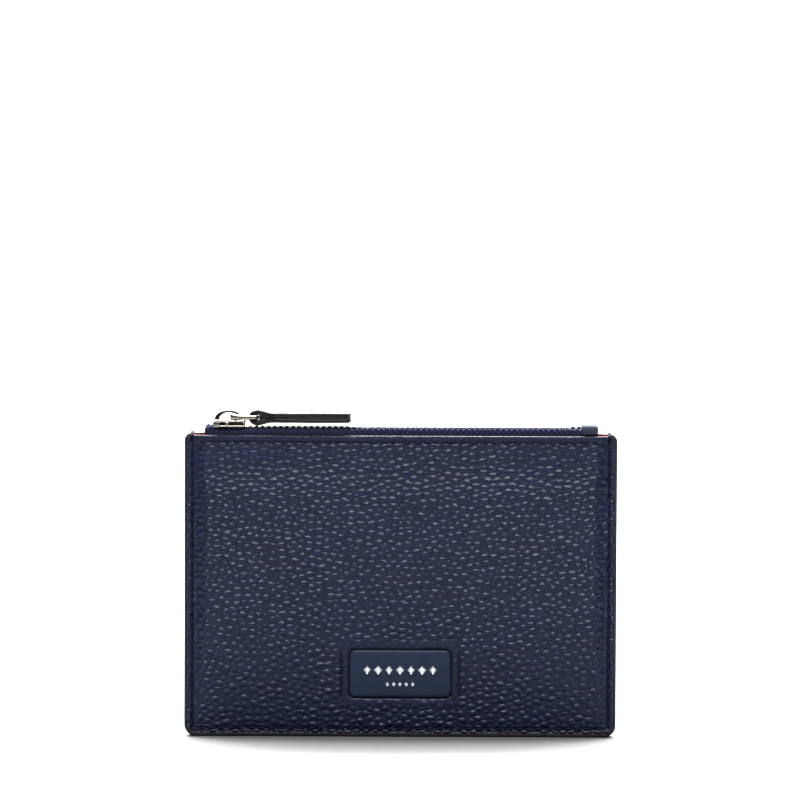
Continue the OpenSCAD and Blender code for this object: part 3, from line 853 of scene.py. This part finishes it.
seam_thread = Build()
for side, layer_at in ((FRONT, lambda z: FRONT_OUT), (BACK, back_depth)):
    for seam in (*side_seams, bottom_seam):
        add_seam(seam_thread, seam, side, layer_at)
for s in (-1, 1):
    for offset in (-0.26, 0.26):
        seam_thread.add(*loft(wrap_rings(s * SEAM_X + offset)[:, ::-1]), kind=1)
seam_thread.piece("side_seam_stitches", [THREAD, TIE_THREAD_PAINTED_SHADE], "thread", "pouch", ["side_seam_thread"])

# The strips' stitches carry the card seams on, and leave no groove.
for low, high in ((62.8, 71.6), (52.8, 61.6)):
    card_seams += seam_pair(CARD_SEAM_X, low, high, SIDE_PITCH)
for name, seams, side, layer_at, node in (
    ("front_mouth_stitches", [front_mouth_seam], FRONT, lambda z: FRONT_OUT, "front_mouth_thread"),
    ("back_mouth_stitches", [back_mouth_seam], BACK, lambda z: BACK_OUT, "back_mouth_thread"),
    ("plaque_stitches", plaque_seams, FRONT, lambda z: FRONT_OUT, "plaque_thread"),
    ("card_seam_stitches", card_seams, BACK, back_depth, "card_seam_thread"),
):
    build = Build()
    for seam in seams:
        add_seam(build, seam, side, layer_at)
    build.piece(name, [THREAD], "thread", "pouch", [node])


# ---------- painted edge ----------

PAINT_BOTTOM_R, PAINT_TOP_R = 3.6, 2.2
PAINT_STEP = 0.5


def outline_path():
    """Stations round the sides and bottom, from the left top corner to the right: point and outward way."""
    w, top = BODY_W / 2, BACK_TOP
    rb, rt = PAINT_BOTTOM_R, PAINT_TOP_R
    spots, ways = [], []

    def straight(a, b, way):
        n = max(2, int(np.linalg.norm(np.subtract(b, a)) / PAINT_STEP))
        for t in np.arange(n) / n:
            spots.append(np.array(a) + (np.array(b) - np.array(a)) * t)
            ways.append(way)

    def arc(centre, r, a0, a1, n=14):
        for t in np.arange(n) / n:
            a = math.radians(a0 + (a1 - a0) * t)
            spots.append(np.array(centre) + r * np.array([math.cos(a), math.sin(a)]))
            ways.append((math.cos(a), math.sin(a)))

    arc((-w + rt, top - rt), rt, 100, 180)
    straight((-w, top - rt), (-w, rb), (-1, 0))
    arc((-w + rb, rb), rb, 180, 270)
    straight((-w + rb, 0), (w - rb, 0), (0, -1))
    arc((w - rb, rb), rb, 270, 360)
    straight((w, rb), (w, top - rt), (1, 0))
    arc((w - rt, top - rt), rt, 0, 80)
    return np.array(spots), np.array(ways)


def painted_edge():
    """A band that wraps a little way round both faces, and follows the steps of the card slots."""
    spots, ways = outline_path()
    wobble = blurred(np.random.default_rng(5).normal(0, 1, (len(spots), 2)), 3)
    low_down = np.clip(-ways[:, 1], 0, 1)
    wrap = 0.8 + 0.85 * low_down + 0.12 * wobble[:, 0]
    back_wrap = 0.8 + 0.3 * low_down + 0.12 * wobble[:, 1]
    front_side = np.full(len(spots), FRONT_OUT) - 0.02
    back_side = np.full(len(spots), BACK_OUT)
    layers = (BACK_OUT, STRIP_1[1], STRIP_2[1], POCKET[1])
    for mouth, above, below in zip(SLOT_MOUTHS, layers, layers[1:]):
        back_side += (below - above) * smooth((mouth - spots[:, 1]) / 0.8 + 0.2)
    profile = []
    quarter = np.linspace(0, math.pi / 2, 7)
    for a in quarter:
        level = front_side - 0.32 * (1 - np.sin(a)) ** 2 - wrap * 0.4 * (1 - np.cos(a))
        profile.append((-wrap * (1 - np.sin(a)), -level))
    for a in quarter[::-1]:
        profile.append((-back_wrap * (1 - np.sin(a)), back_side - back_wrap * 0.62 * (1 - np.cos(a))))
    profile.append((-back_wrap - 0.05, back_side - 0.45))
    profile.append((np.full(len(spots), -1.0), np.zeros(len(spots))))
    profile.append((-wrap - 0.05, -front_side + 0.45))
    rings = []
    for out, y in profile:
        x, z = (spots + ways * out[:, None]).T
        rings.append(at_depth(x, y, z, BACK))
    build = Build()
    build.add(*loft(np.stack(rings, 1)[:, ::-1]))
    build.piece("painted_edge", [BODY_EDGE], "edge_paint", "pouch", ["edge_paint"])


painted_edge()


# ---------- plaque ----------

PAD_GAP = 0.4
PAD_HALF = ((WINDOW[1] - WINDOW[0]) / 2 - PAD_GAP, (WINDOW[3] - WINDOW[2]) / 2 - PAD_GAP)
PAD_Z = (WINDOW[2] + WINDOW[3]) / 2
PAD_R = 1.9
PAD_ROLL = 1.15
PAD_POINTS = (150, 72)


def plaque_depth(x, z):
    """Depth of the plaque's outer face: a flat middle that rolls over at its round-cornered edge."""
    half_x, half_z = PAD_HALF
    qx, qz = np.abs(x) - half_x + PAD_R, np.abs(z - PAD_Z) - half_z + PAD_R
    inwards = PAD_R - np.hypot(np.maximum(qx, 0), np.maximum(qz, 0)) - np.minimum(np.maximum(qx, qz), 0)
    roll = np.clip(1 - inwards / PAD_ROLL, 0, 1)
    crown = 0.1 * (1 - (x / half_x) ** 2) * (1 - ((z - PAD_Z) / half_z) ** 2)
    wave = 0.02 * np.sin(x * 0.9 + 0.5) * np.sin(z * 0.8)
    return FRONT_OUT + bulge(x, z) + 0.38 + crown + wave - 0.75 * (1 - np.sqrt(1 - roll**2 * 0.98))


def plaque_cover():
    n_x, n_z = PAD_POINTS
    u, v = np.meshgrid(np.linspace(-1, 1, n_x), np.linspace(-1, 1, n_z), indexing="ij")
    x, z = u * PAD_HALF[0], v * PAD_HALF[1]
    for sx in (-1, 1):
        for sz in (-1, 1):
            x, z = round_corner(x, z, sx * PAD_HALF[0], sz * PAD_HALF[1], sz, PAD_R)
    z = z + PAD_Z
    outer = plaque_depth(x, z)
    verts = [at_depth(x, outer, z, FRONT).reshape(-1, 3)]
    count = n_x * n_z
    index = np.arange(count).reshape(n_x, n_z)
    faces = grid_faces(index).reshape(-1, 4).tolist()
    loop = boundary(0, n_x - 1, 0, n_z - 1)
    rim = np.array([(x[i, j], z[i, j]) for i, j in loop])
    ring = [index[i, j] for i, j in loop]
    foot = LEATHER_IN + bulge(rim[:, 0], rim[:, 1])
    top = np.array([outer[i, j] for i, j in loop])
    for part in (0.25, 0.5, 0.75, 1.0):
        verts.append(at_depth(rim[:, 0], top + (foot - top) * part, rim[:, 1], FRONT))
        new = list(range(count, count + len(loop)))
        faces += band(ring, new)
        ring, count = new, count + len(loop)
    faces.append(tuple(ring[::-1]))
    verts = np.concatenate(verts)
    pad = piece("plaque_pad", verts, faces, [PLAQUE_LEATHER], "pouch", ["plaque_cover"])


def lozenge(build, x, z, half_x, half_z, lift=0.03, n=5):
    """A thin foil lozenge that follows the plaque's face."""
    u, v = np.meshgrid(np.linspace(-1, 1, n), np.linspace(-1, 1, n), indexing="ij")
    px, pz = x + (u + v) / 2 * half_x, z + (u - v) / 2 * half_z
    index = np.arange(n * n).reshape(n, n)
    face = at_depth(px, plaque_depth(px, pz) + lift, pz, FRONT).reshape(-1, 3)
    under = face + [0, lift + 0.02, 0]
    quads = grid_faces(index).reshape(-1, 4)
    loop = [index[i, j] for i, j in boundary(0, n - 1, 0, n - 1)]
    faces = quads[:, [1, 2, 3, 0]].tolist() + (quads[:, [0, 3, 2, 1]] + n * n).tolist()
    faces += [(a, b, b + n * n, a + n * n) for a, b in zip(loop, loop[1:] + loop[:1])]
    build.add(np.concatenate([face, under]), faces)


plaque_cover()
build = Build()
for k in range(-3, 4):
    lozenge(build, k * 3.3, PAD_Z + 1.2, 1.15 if k % 2 else 1.35, 1.45)
for k in range(-2, 3):
    lozenge(build, k * 1.9, PAD_Z - 3.1, 0.6, 0.75)
build.piece("plaque_foil_lozenges", [FOIL], "smooth_leather", "pouch")


# ---------- zip ----------

CHAIN_Z = (TEETH_LOW[2] + TEETH_HIGH[2]) / 2
TOOTH_PITCH = 1.83
TOOTH_HALF = 0.4
FIRST_TOOTH = TEETH_LOW[0] + TOOTH_HALF
TAPE_HALF = SEAM_Y - TAPE_LOW[1]
TAPE_T = 0.5
CORD_Y, CORD_R = 1.42, 0.46


def tape(side, name):
    """A woven tape: up out of the mouth, over a bend, and in to the teeth that clamp it."""
    xs = np.arange(TAPE_LOW[0], TAPE_HIGH[0] + 0.01, 0.16)
    top = CHAIN_Z + side * 0.15
    within = TAPE_HALF - TAPE_T
    outer = spline([(TAPE_HALF, 84.0), (TAPE_HALF, 88.0), (TAPE_HALF, 91.0), (TAPE_HALF + 0.02, 92.0),
                    (TAPE_HALF - 0.1, 92.6), (TAPE_HALF - 0.45, top), (1.45, top), (0.98, top)], 5)
    inner = spline([(within, 84.0), (within, 88.0), (within, 91.0), (within, 91.8), (within - 0.08, 92.2),
                    (TAPE_HALF - 0.75, top - TAPE_T), (1.45, top - TAPE_T), (0.98, top - TAPE_T)], 5)
    # The sewing gathers the weave between the teeth, and lifts it at the ends of the zip.
    phase = (xs - FIRST_TOOTH) / TOOTH_PITCH + (0.5 if side == BACK else 0.0)
    gather = np.cos(2 * math.pi * phase)
    swell = 0.1 * gather[:, None] * smooth((outer[:, 1] - 91.2) / 1.4)[None]
    weave = 0.035 * np.sin(xs * 2 * math.pi / 0.61)[:, None] * np.sin(outer[:, 1] * 2 * math.pi / 0.75)[None]
    away = xs - xs[0]
    corner = 1.3 * (1 - np.sqrt(1 - np.clip(1 - away / 1.3, 0, 1) ** 2))
    lift = 0.75 * smooth((3.4 - away) / 1.4) - corner
    lift += 0.4 * smooth((xs + 15.5) / 5.0) * (0.75 + 0.25 * gather)
    grown = swell + weave
    way = directions(outer)
    y, z = (
        np.concatenate([out, np.repeat(back[None], len(xs), 0)], 1)
        for out, back in (
            (outer[:, 0][None] + grown * way[:, 1][None], inner[::-1, 0]),
            (outer[:, 1][None] - grown * way[:, 0][None], inner[::-1, 1]),
        )
    )
    z += lift[:, None] * smooth((z - 91.0) / 1.6)
    build = Build()
    build.add(*loft(at_depth(np.repeat(xs[:, None], y.shape[1], 1), y, z, side)[:, ::side]))

    # The cord that the teeth are clamped on. Its near-black colour is painted shade between the teeth.
    turn = circle(14)
    xs = np.linspace(TEETH_LOW[0] - 0.8, TEETH_HIGH[0] + 0.8, 420)
    phase = (xs - FIRST_TOOTH) / TOOTH_PITCH + (0.5 if side == BACK else 0.0)
    bead = (CORD_R + 0.05 * np.cos(2 * math.pi * phase))[:, None]
    along = np.repeat(xs[:, None], len(turn), 1)
    rings = at_depth(along, CORD_Y + bead * np.cos(turn), CHAIN_Z + bead * np.sin(turn), side)
    build.add(*loft(rings[:, ::side]), kind=1)
    build.piece(f"zip_tape_{name}_weave", [TAPE, CORD], "zip_tape", "pouch", [f"zip_tape_{name}"])


def rounded_box(low, high, r, n=4, bend=None):
    """A box with round edges, as a grid cube pushed out from a smaller box."""
    low, high = np.array(low, float), np.array(high, float)
    centre, half = (low + high) / 2, (high - low) / 2
    r = min(r, *half)
    ticks = []
    for h in half:
        arc = np.sin(np.linspace(0, math.pi / 2, n + 1)[1:])
        inner = h - r
        flats = np.linspace(-inner, inner, 3) if inner > 1e-6 else np.array([0.0])
        ticks.append(np.concatenate([-(inner + r * arc[::-1]), flats, inner + r * arc]))
    ids, verts, faces = {}, [], []

    def vertex(p):
        key = tuple(np.round(p, 6))
        if key not in ids:
            ids[key] = len(verts)
            core = np.clip(p, -(half - r), half - r)
            away = np.array(p) - core
            far = np.linalg.norm(away)
            verts.append(centre + core + (away / far * r if far > 1e-9 else 0))
        return ids[key]

    for axis in range(3):
        a, b = (axis + 1) % 3, (axis + 2) % 3
        for sign in (-1, 1):
            for ua, ub in zip(ticks[a], ticks[a][1:]):
                for va, vb in zip(ticks[b], ticks[b][1:]):
                    quad = []
                    for u, v in ((ua, va), (ub, va), (ub, vb), (ua, vb)):
                        p = [0, 0, 0]
                        p[axis], p[a], p[b] = sign * half[axis], u, v
                        quad.append(vertex(p))
                    faces.append(tuple(quad[::sign]))
    verts = np.array(verts)
    return (bend(verts) if bend else verts), faces


def dimple(verts):
    """Narrows a tooth's waist and sinks a cup in the top and bottom of its head."""
    waist = np.exp(-(((verts[:, 1] + 0.35) / 0.3) ** 2))
    verts[:, 0] *= 1 - 0.3 * waist
    cup = np.exp(-((verts[:, 1] - 0.12) ** 2 + verts[:, 0] ** 2) / 0.05)
    verts[:, 2] -= np.sign(verts[:, 2] - CHAIN_Z) * 0.2 * cup
    return verts


def teeth(side, name, shift):
    """Teeth of two legs that clamp the tape, a waist, and a rounded head with a dimple."""
    w = TOOTH_HALF
    height = TEETH_HIGH[2] - TEETH_LOW[2]
    low, high = CHAIN_Z - height / 2, CHAIN_Z + height / 2
    parts = [
        rounded_box((-w, -1.95, CHAIN_Z + 0.24), (w, -0.7, high), 0.16, 3),
        rounded_box((-w, -1.95, low), (w, -0.7, CHAIN_Z - 0.24), 0.16, 3),
        rounded_box((-w, -1.0, low), (w, 0.5, high), 0.22, 3, bend=dimple),
    ]
    count = round((TEETH_HIGH[0] - TEETH_LOW[0] - 2 * w) / TOOTH_PITCH) + 1
    build = Build()
    for x in FIRST_TOOTH + shift + TOOTH_PITCH * np.arange(count):
        for verts, faces in parts:
            build.add(verts * [1, -side, 1] + [x, SEAM_Y, 0], [face[::-side] for face in faces])
    build.piece(f"zip_teeth_{name}_row", [TOOTH_NICKEL], "nickel", "pouch", [f"zip_teeth_{name}"])


def soften(verts):
    """Leans the end tab's upper part in and bows its ends."""
    up = smooth((verts[:, 2] - 92.5) / 2.0)
    verts[:, 1] = SEAM_Y + (verts[:, 1] - SEAM_Y) * (1 - 0.1 * up)
    verts[:, 0] += 0.1 * np.sin((verts[:, 2] - 91.0) * 0.9)
    return verts


def end_tab():
    """Smooth leather folded over the zip's end, with a soft roll at its free corners."""
    low, high = END_LOW, END_HIGH
    foot = (low[0], low[1], FRONT_TOP + 0.05)
    build = Build()
    build.add(*rounded_box(foot, (high[0] + 0.1, high[1], high[2] + 0.2), 1.0, 7, soften))
    build.add(*rounded_box((low[0] + 2.4, SEAM_Y - 0.8, 86.0), (high[0] - 0.3, SEAM_Y + 0.8, 92.4), 0.3, 3))
    build.piece("zip_end_tab_leather", [TAB_LEATHER], "smooth_leather", "pouch", ["zip_end_tab"])


for side, name, shift in ((FRONT, "front", 0.0), (BACK, "back", TOOTH_PITCH / 2)):
    tape(side, name)
    teeth(side, name, shift)
end_tab()


# ---------- slider ----------

SLIDER_X = (SLIDER_LOW[0] + SLIDER_HIGH[0]) / 2
SLIDER_HALF = (SLIDER_HIGH[0] - SLIDER_LOW[0]) / 2
PLATE_TOP = SLIDER_HIGH[2]
FLANGE_Y = (SLIDER_HIGH[1] - SLIDER_LOW[1]) / 2
# The bars of a flange: first and last x from the slider's middle, lowest and highest z, rounding.
FLANGE_BARS = (
    (-4.75, 4.6, 93.42, 93.92, 0.2), (-4.85, -2.9, 93.45, 95.1, 0.26),
    (-1.25, -0.05, 93.5, 94.9, 0.26), (4.05, 4.6, 93.45, 94.9, 0.22),
)
BAIL_HALF, BAIL_RISE = 4.15, 2.78


def slider_plan(t):
    """Half the width of the slider's plate along its length, from -1 at its front to 1."""
    shoulder = 1 - 0.16 * smooth((t + 0.1) / 0.9)
    nose = np.sqrt(np.clip(1 - np.clip((np.abs(t) - 0.72) / 0.28, 0, 1) ** 2.4, 0, 1))
    return FLANGE_Y * shoulder * (0.5 + 0.5 * nose)


def slider():
    """Top plate, flanges with openings, a near-black block between them as painted shade in the channel, foot
    and divider post.
    """
    build = Build()
    xs = SLIDER_X + SLIDER_HALF * np.sin(np.linspace(-math.pi / 2, math.pi / 2, 41))
    t = (xs - SLIDER_X) / SLIDER_HALF
    thick = 0.72 + 0.3 * np.exp(-(((t + 0.8) / 0.22) ** 2))
    rings = []
    for x, w, h in zip(xs, slider_plan(t), thick):
        shape = slab_section(w, h / 2, min(0.34, w * 0.5))
        rings.append(at_depth(np.full(len(shape), x), shape[:, 0], PLATE_TOP - h / 2 + shape[:, 1], 1))
    build.add(*loft(np.array(rings)[:, ::-1]))

    def box(x0, x1, y0, y1, z0, z1, r, kind=0):
        low, high = (SLIDER_X + x0, SEAM_Y + y0, z0), (SLIDER_X + x1, SEAM_Y + y1, z1)
        build.add(*rounded_box(low, high, r), kind=kind)

    for s in (-1, 1):
        y0, y1 = sorted((s * (FLANGE_Y - 0.62), s * (FLANGE_Y - 0.08)))
        for x0, x1, z0, z1, r in FLANGE_BARS:
            box(x0, x1, y0, y1, z0, z1, r)
    inner, foot = FLANGE_Y - 0.85, SLIDER_LOW[2]
    # Painted shade: a near-black block fills the channel between the flanges.
    box(-4.3, 4.2, -inner, inner, 93.8, 94.8, 0.2, kind=1)
    box(-4.6, 4.3, -1.55, 1.55, foot, foot + 0.7, 0.3)
    box(-4.4, -2.8, -0.62, 0.62, foot + 0.3, 94.6, 0.3)
    build.piece("slider_shell", [NICKEL, PAINTED_SHADE_RECESS], "nickel", "slider", ["slider_body"])


def bail():
    """The arch over the slider, thicker at its feet than at its crown."""
    rings = []
    for a in np.linspace(0, math.pi, 49):
        foot = abs(math.cos(a))
        thick = 0.46 + (0.85 if a > math.pi / 2 else 0.5) * foot**1.6
        out = np.array([BAIL_HALF * math.cos(a), BAIL_RISE * math.sin(a) ** 0.9])
        way = np.array([-BAIL_HALF * math.sin(a), BAIL_RISE * math.cos(a)])
        way /= np.linalg.norm(way)
        normal = np.array([way[1], -way[0]])
        shape = slab_section(1.0 + 0.12 * foot, thick / 2, 0.09, 5, 6)
        xz = out - normal * thick / 2 + normal * shape[:, 1:]
        rings.append(at_depth(SLIDER_X - 0.25 + xz[:, 0], shape[:, 0], PLATE_TOP - 0.04 + xz[:, 1], 1))
    build = Build()
    build.add(*loft(np.array(rings)))
    build.piece("slider_bail_arch", [BAIL_NICKEL_PAINTED_SHADE], "nickel", "slider", ["slider_bail"])


slider()
bail()


# ---------- pull ----------

BAR, EYE = joint_mm("link_hinge"), joint_mm("pull_hinge")
LINK_HALF_W = 3.1
TAB_END = corners_mm("pull_tab")[1][0] - EYE[0]
TAB_HALF_W, NECK_HALF_W, TAB_END_R = 3.5, 2.1, 1.5


def link():
    """A closed loop of wire with lobes at its thick bar, tapering to the bar in the leather."""
    slope = math.atan2(BAR[2] - EYE[2], EYE[0] - BAR[0])
    long = math.hypot(BAR[2] - EYE[2], EYE[0] - BAR[0])
    wide = LINK_HALF_W
    half = [(0, 0), (0, wide - 0.5), (0.32, wide), (2.4, wide), (4.8, wide - 0.04), (6.35, wide - 0.25),
            (long, wide - 1.2)]
    plan = spline([*half, (long, 0), *((x, -y) for x, y in half[::-1])], 9)[:-1]
    way = np.roll(plan, -1, 0) - np.roll(plan, 1, 0)
    way /= np.linalg.norm(way, axis=1)[:, None]
    normal = np.stack([way[:, 1], -way[:, 0]], 1)
    reach, off = plan[:, 0] / long, np.abs(plan[:, 1])
    lobe = np.exp(-(((plan[:, 0] - 0.35) / 0.9) ** 2)) * smooth((off - 1.6) / 1.2)
    bars = off < wide - 1.3
    tall = np.where(bars, np.where(reach < 0.3, 0.8, 0.62), 0.72 - 0.08 * reach + 0.3 * lobe)
    flat = np.where(bars, np.where(reach < 0.3, 0.72, 0.62), 0.6 - 0.02 * reach + 0.2 * lobe)
    tall, flat = blurred(tall, 3), blurred(flat, 3)
    turn = circle(20)
    c, s = (np.sign(wave) * np.abs(wave) ** 0.8 for wave in (np.cos(turn), np.sin(turn)))
    xy = plan[:, None] + normal[:, None] * (flat[:, None] * c)[..., None]
    up = tall[:, None] * s
    x = BAR[0] + xy[..., 0] * math.cos(slope) + up * math.sin(slope)
    z = BAR[2] - xy[..., 0] * math.sin(slope) + up * math.cos(slope)
    build = Build()
    build.add(*loft(np.stack([x, BAR[1] + xy[..., 1], z], 2), closed_path=True))
    build.piece("pull_link_loop", [LINK_NICKEL_PAINTED_SHADE], "nickel", "link", ["pull_link"])


def tab_half_width(x):
    w = NECK_HALF_W + (TAB_HALF_W - NECK_HALF_W) * smooth((x - 2.6) / 3.2)
    past = np.clip((x - (TAB_END - TAB_END_R)) / TAB_END_R, 0, 1)
    return w - TAB_END_R * (1 - np.sqrt(np.clip(1 - past**2, 0, 1)))


def swept_strap(build, centre, thick, rounding, seed):
    """A strap whose centre line runs in (x, z), with crowned painted edges that waver a little."""
    way = directions(centre)
    normal = np.stack([-way[:, 1], way[:, 0]], 1)
    waver = blurred(np.random.default_rng(seed).normal(0, 1, len(centre)), 4)
    rings = []
    for c, n, h, more in zip(centre, normal, thick, waver):
        shape = slab_section(float(tab_half_width(c[0])), h / 2 + 0.03 * more, rounding)
        xz = c + n * shape[:, 1:]
        rings.append(np.stack([EYE[0] + xz[:, 0], EYE[1] + shape[:, 0], EYE[2] + xz[:, 1]], 1))
    # Faces on the rounded sides are painted; those on the flats are leather.
    half = 3.0
    shape = slab_section(half, 0.5, rounding)
    painted = np.abs(shape[:, 0] + np.roll(shape[:, 0], -1)) / 2 > half - rounding - 0.01
    verts, faces = loft(np.array(rings))
    build.add(verts, faces, [*np.tile(painted, len(centre) - 1).astype(int), 1, 1])


def pull_tab():
    """One strip of leather folded round the link's bar and glued to itself over a filler."""
    top = [(TAB_END - 0.02, 0.64), (TAB_END - 0.3, 0.76), (TAB_END - 0.9, 0.85), (24.0, 0.87), (18.0, 0.89),
           (12.0, 0.86), (9.0, 0.8), (7.0, 0.74), (5.4, 0.74), (4.2, 0.8), (3.1, 0.98), (2.2, 1.24),
           (1.2, 1.47), (0.0, 1.56), (-1.1, 1.1), (-1.56, 0.0)]
    loop = spline(top + [(x, -z) for x, z in top[-2::-1]], 7)
    x = loop[:, 0]
    thick = 1.2 + 0.26 * smooth((10.5 - x) / 2.5) + 0.1 * smooth((2.0 - x) / 2.0)
    thick -= 0.45 * smooth((x - TAB_END + 0.9) / 0.9)
    build = Build()
    swept_strap(build, loop, thick, 0.42, 3)
    build.piece("pull_tab_folded", [PULL_LEATHER_PAINTED_SHADE, PULL_EDGE], "pull_leather", "pull", ["pull_tab"])
    build = Build()
    xs = np.linspace(9.2, TAB_END - 0.05, 60)
    swept_strap(build, np.stack([xs, 0 * xs], 1), np.full(60, 0.54), 0.2, 8)
    xs = np.linspace(0.8, 5.0, 24)
    swept_strap(build, np.stack([xs, 0 * xs], 1), 1.36 * (1 - smooth((xs - 0.9) / 4.2)) + 0.06, 0.1, 9)
    build.piece("pull_tab_filler_edge", [BOARD, PULL_EDGE], "board", "pull", ["pull_tab_filler"])


link()
pull_tab()


# ---------- carried-over CAD nodes ----------

for names, material in (
    (("front_board", "back_board", "plaque_core"), BOARD),
    (("front_lining", "back_lining", "pocket_lining_1", "pocket_lining_2", "pocket_lining_3"), LINING),
    (("plaque_backing",), PLAQUE_LEATHER),
    (("zip_top_stops", "zip_bottom_stop"), NICKEL),
):
    for name in names:
        slots = NODES[name].data.materials
        slots.clear()
        slots.append(material)


# ---------- studio ----------

WORLD_STRENGTH = 0.1
# One photo pixel at the pouch, in metres, and the frame's width in pixels.
PIXEL, FRAME_PIXELS = 0.2998 * MM, 800
SENSOR_MM = 36.0
DISTANCE = 1.2
ELEVATION, ROLL = math.radians(2.6), math.radians(0.23)
CENTRE = Vector((-0.00035, -0.0045, 0.10175))


def backdrop(flat=1.5, bend=0.8, top=3.0, turns=96, reach=math.radians(80)):
    """A round floor that curves up into a wall behind the pouch."""
    path = [(0.3, 0.0), (flat, 0.0)]
    for a in np.linspace(0, math.pi / 2, 16)[1:]:
        path.append((flat + bend * math.sin(a), bend * (1 - math.cos(a))))
    path.append((flat + bend, top))
    verts = [(0.0, 0.0, 0.0)]
    for r, z in path:
        verts += [(r * math.cos(turn), r * math.sin(turn), z) for turn in circle(turns)]
    faces = [(0, 1 + k, 1 + (k + 1) % turns) for k in range(turns)]
    for ring in range(len(path) - 1):
        a, b = 1 + ring * turns, 1 + (ring + 1) * turns
        for k in range(turns):
            behind = abs(2 * math.pi * (k + 0.5) / turns - math.pi / 2) < reach
            if ring == 0 or behind:
                faces.append((a + k, b + k, b + (k + 1) % turns, a + (k + 1) % turns))
    mesh = bpy.data.meshes.new("studio_sweep")
    mesh.from_pydata(verts, [], faces)
    mesh.materials.append(studio_white("studio_paper"))
    mesh.polygons.foreach_set("use_smooth", np.ones(len(mesh.polygons), bool))
    add_object("studio_sweep", mesh)


def softbox(name, place, aim, size, power, spread=math.pi):
    light = bpy.data.lights.new(name, "AREA")
    light.shape = "RECTANGLE"
    light.size, light.size_y = size
    light.energy = power
    light.spread = spread
    made = add_object(name, light)
    made.location = place
    made.rotation_euler = (Vector(aim) - Vector(place)).to_track_quat("-Z", "Y").to_euler()


backdrop()
softbox("key_over_and_behind", (0.0, 0.38, 0.95), (0.0, 0.34, 0.0), (1.8, 0.7), 44.0, math.radians(130))
softbox("strip_over_front", (0.0, -0.8, 0.82), (0.0, 0.0, 0.05), (1.2, 0.24), 14.0)
softbox("front_fill", (0.0, -1.5, 0.95), (0.0, 0.0, 0.05), (1.6, 0.9), 1.0)
softbox("backdrop_wash", (0.0, 0.9, 2.2), (0.0, 2.3, 0.6), (2.4, 0.5), 310.0)

scene = bpy.context.scene
scene.world = bpy.data.worlds.new("studio_world")
scene.world.use_nodes = True
background = scene.world.node_tree.nodes["Background"]
background.inputs["Color"].default_value = (1.0, 1.0, 1.0, 1.0)
background.inputs["Strength"].default_value = WORLD_STRENGTH

camera_data = bpy.data.cameras.new("camera")
camera_data.sensor_width = SENSOR_MM
camera_data.lens = SENSOR_MM * DISTANCE / (FRAME_PIXELS * PIXEL)
camera_data.clip_end = 20.0
camera = add_object("camera", camera_data)
camera.location = CENTRE + DISTANCE * Vector((0, -math.cos(ELEVATION), math.sin(ELEVATION)))
look = (CENTRE - camera.location).to_track_quat("-Z", "Y").to_matrix()
camera.rotation_euler = (look @ Matrix.Rotation(ROLL, 3, "Z")).to_euler()
scene.camera = camera
scene.view_settings.view_transform = "Standard"
scene.view_settings.look = "High Contrast"
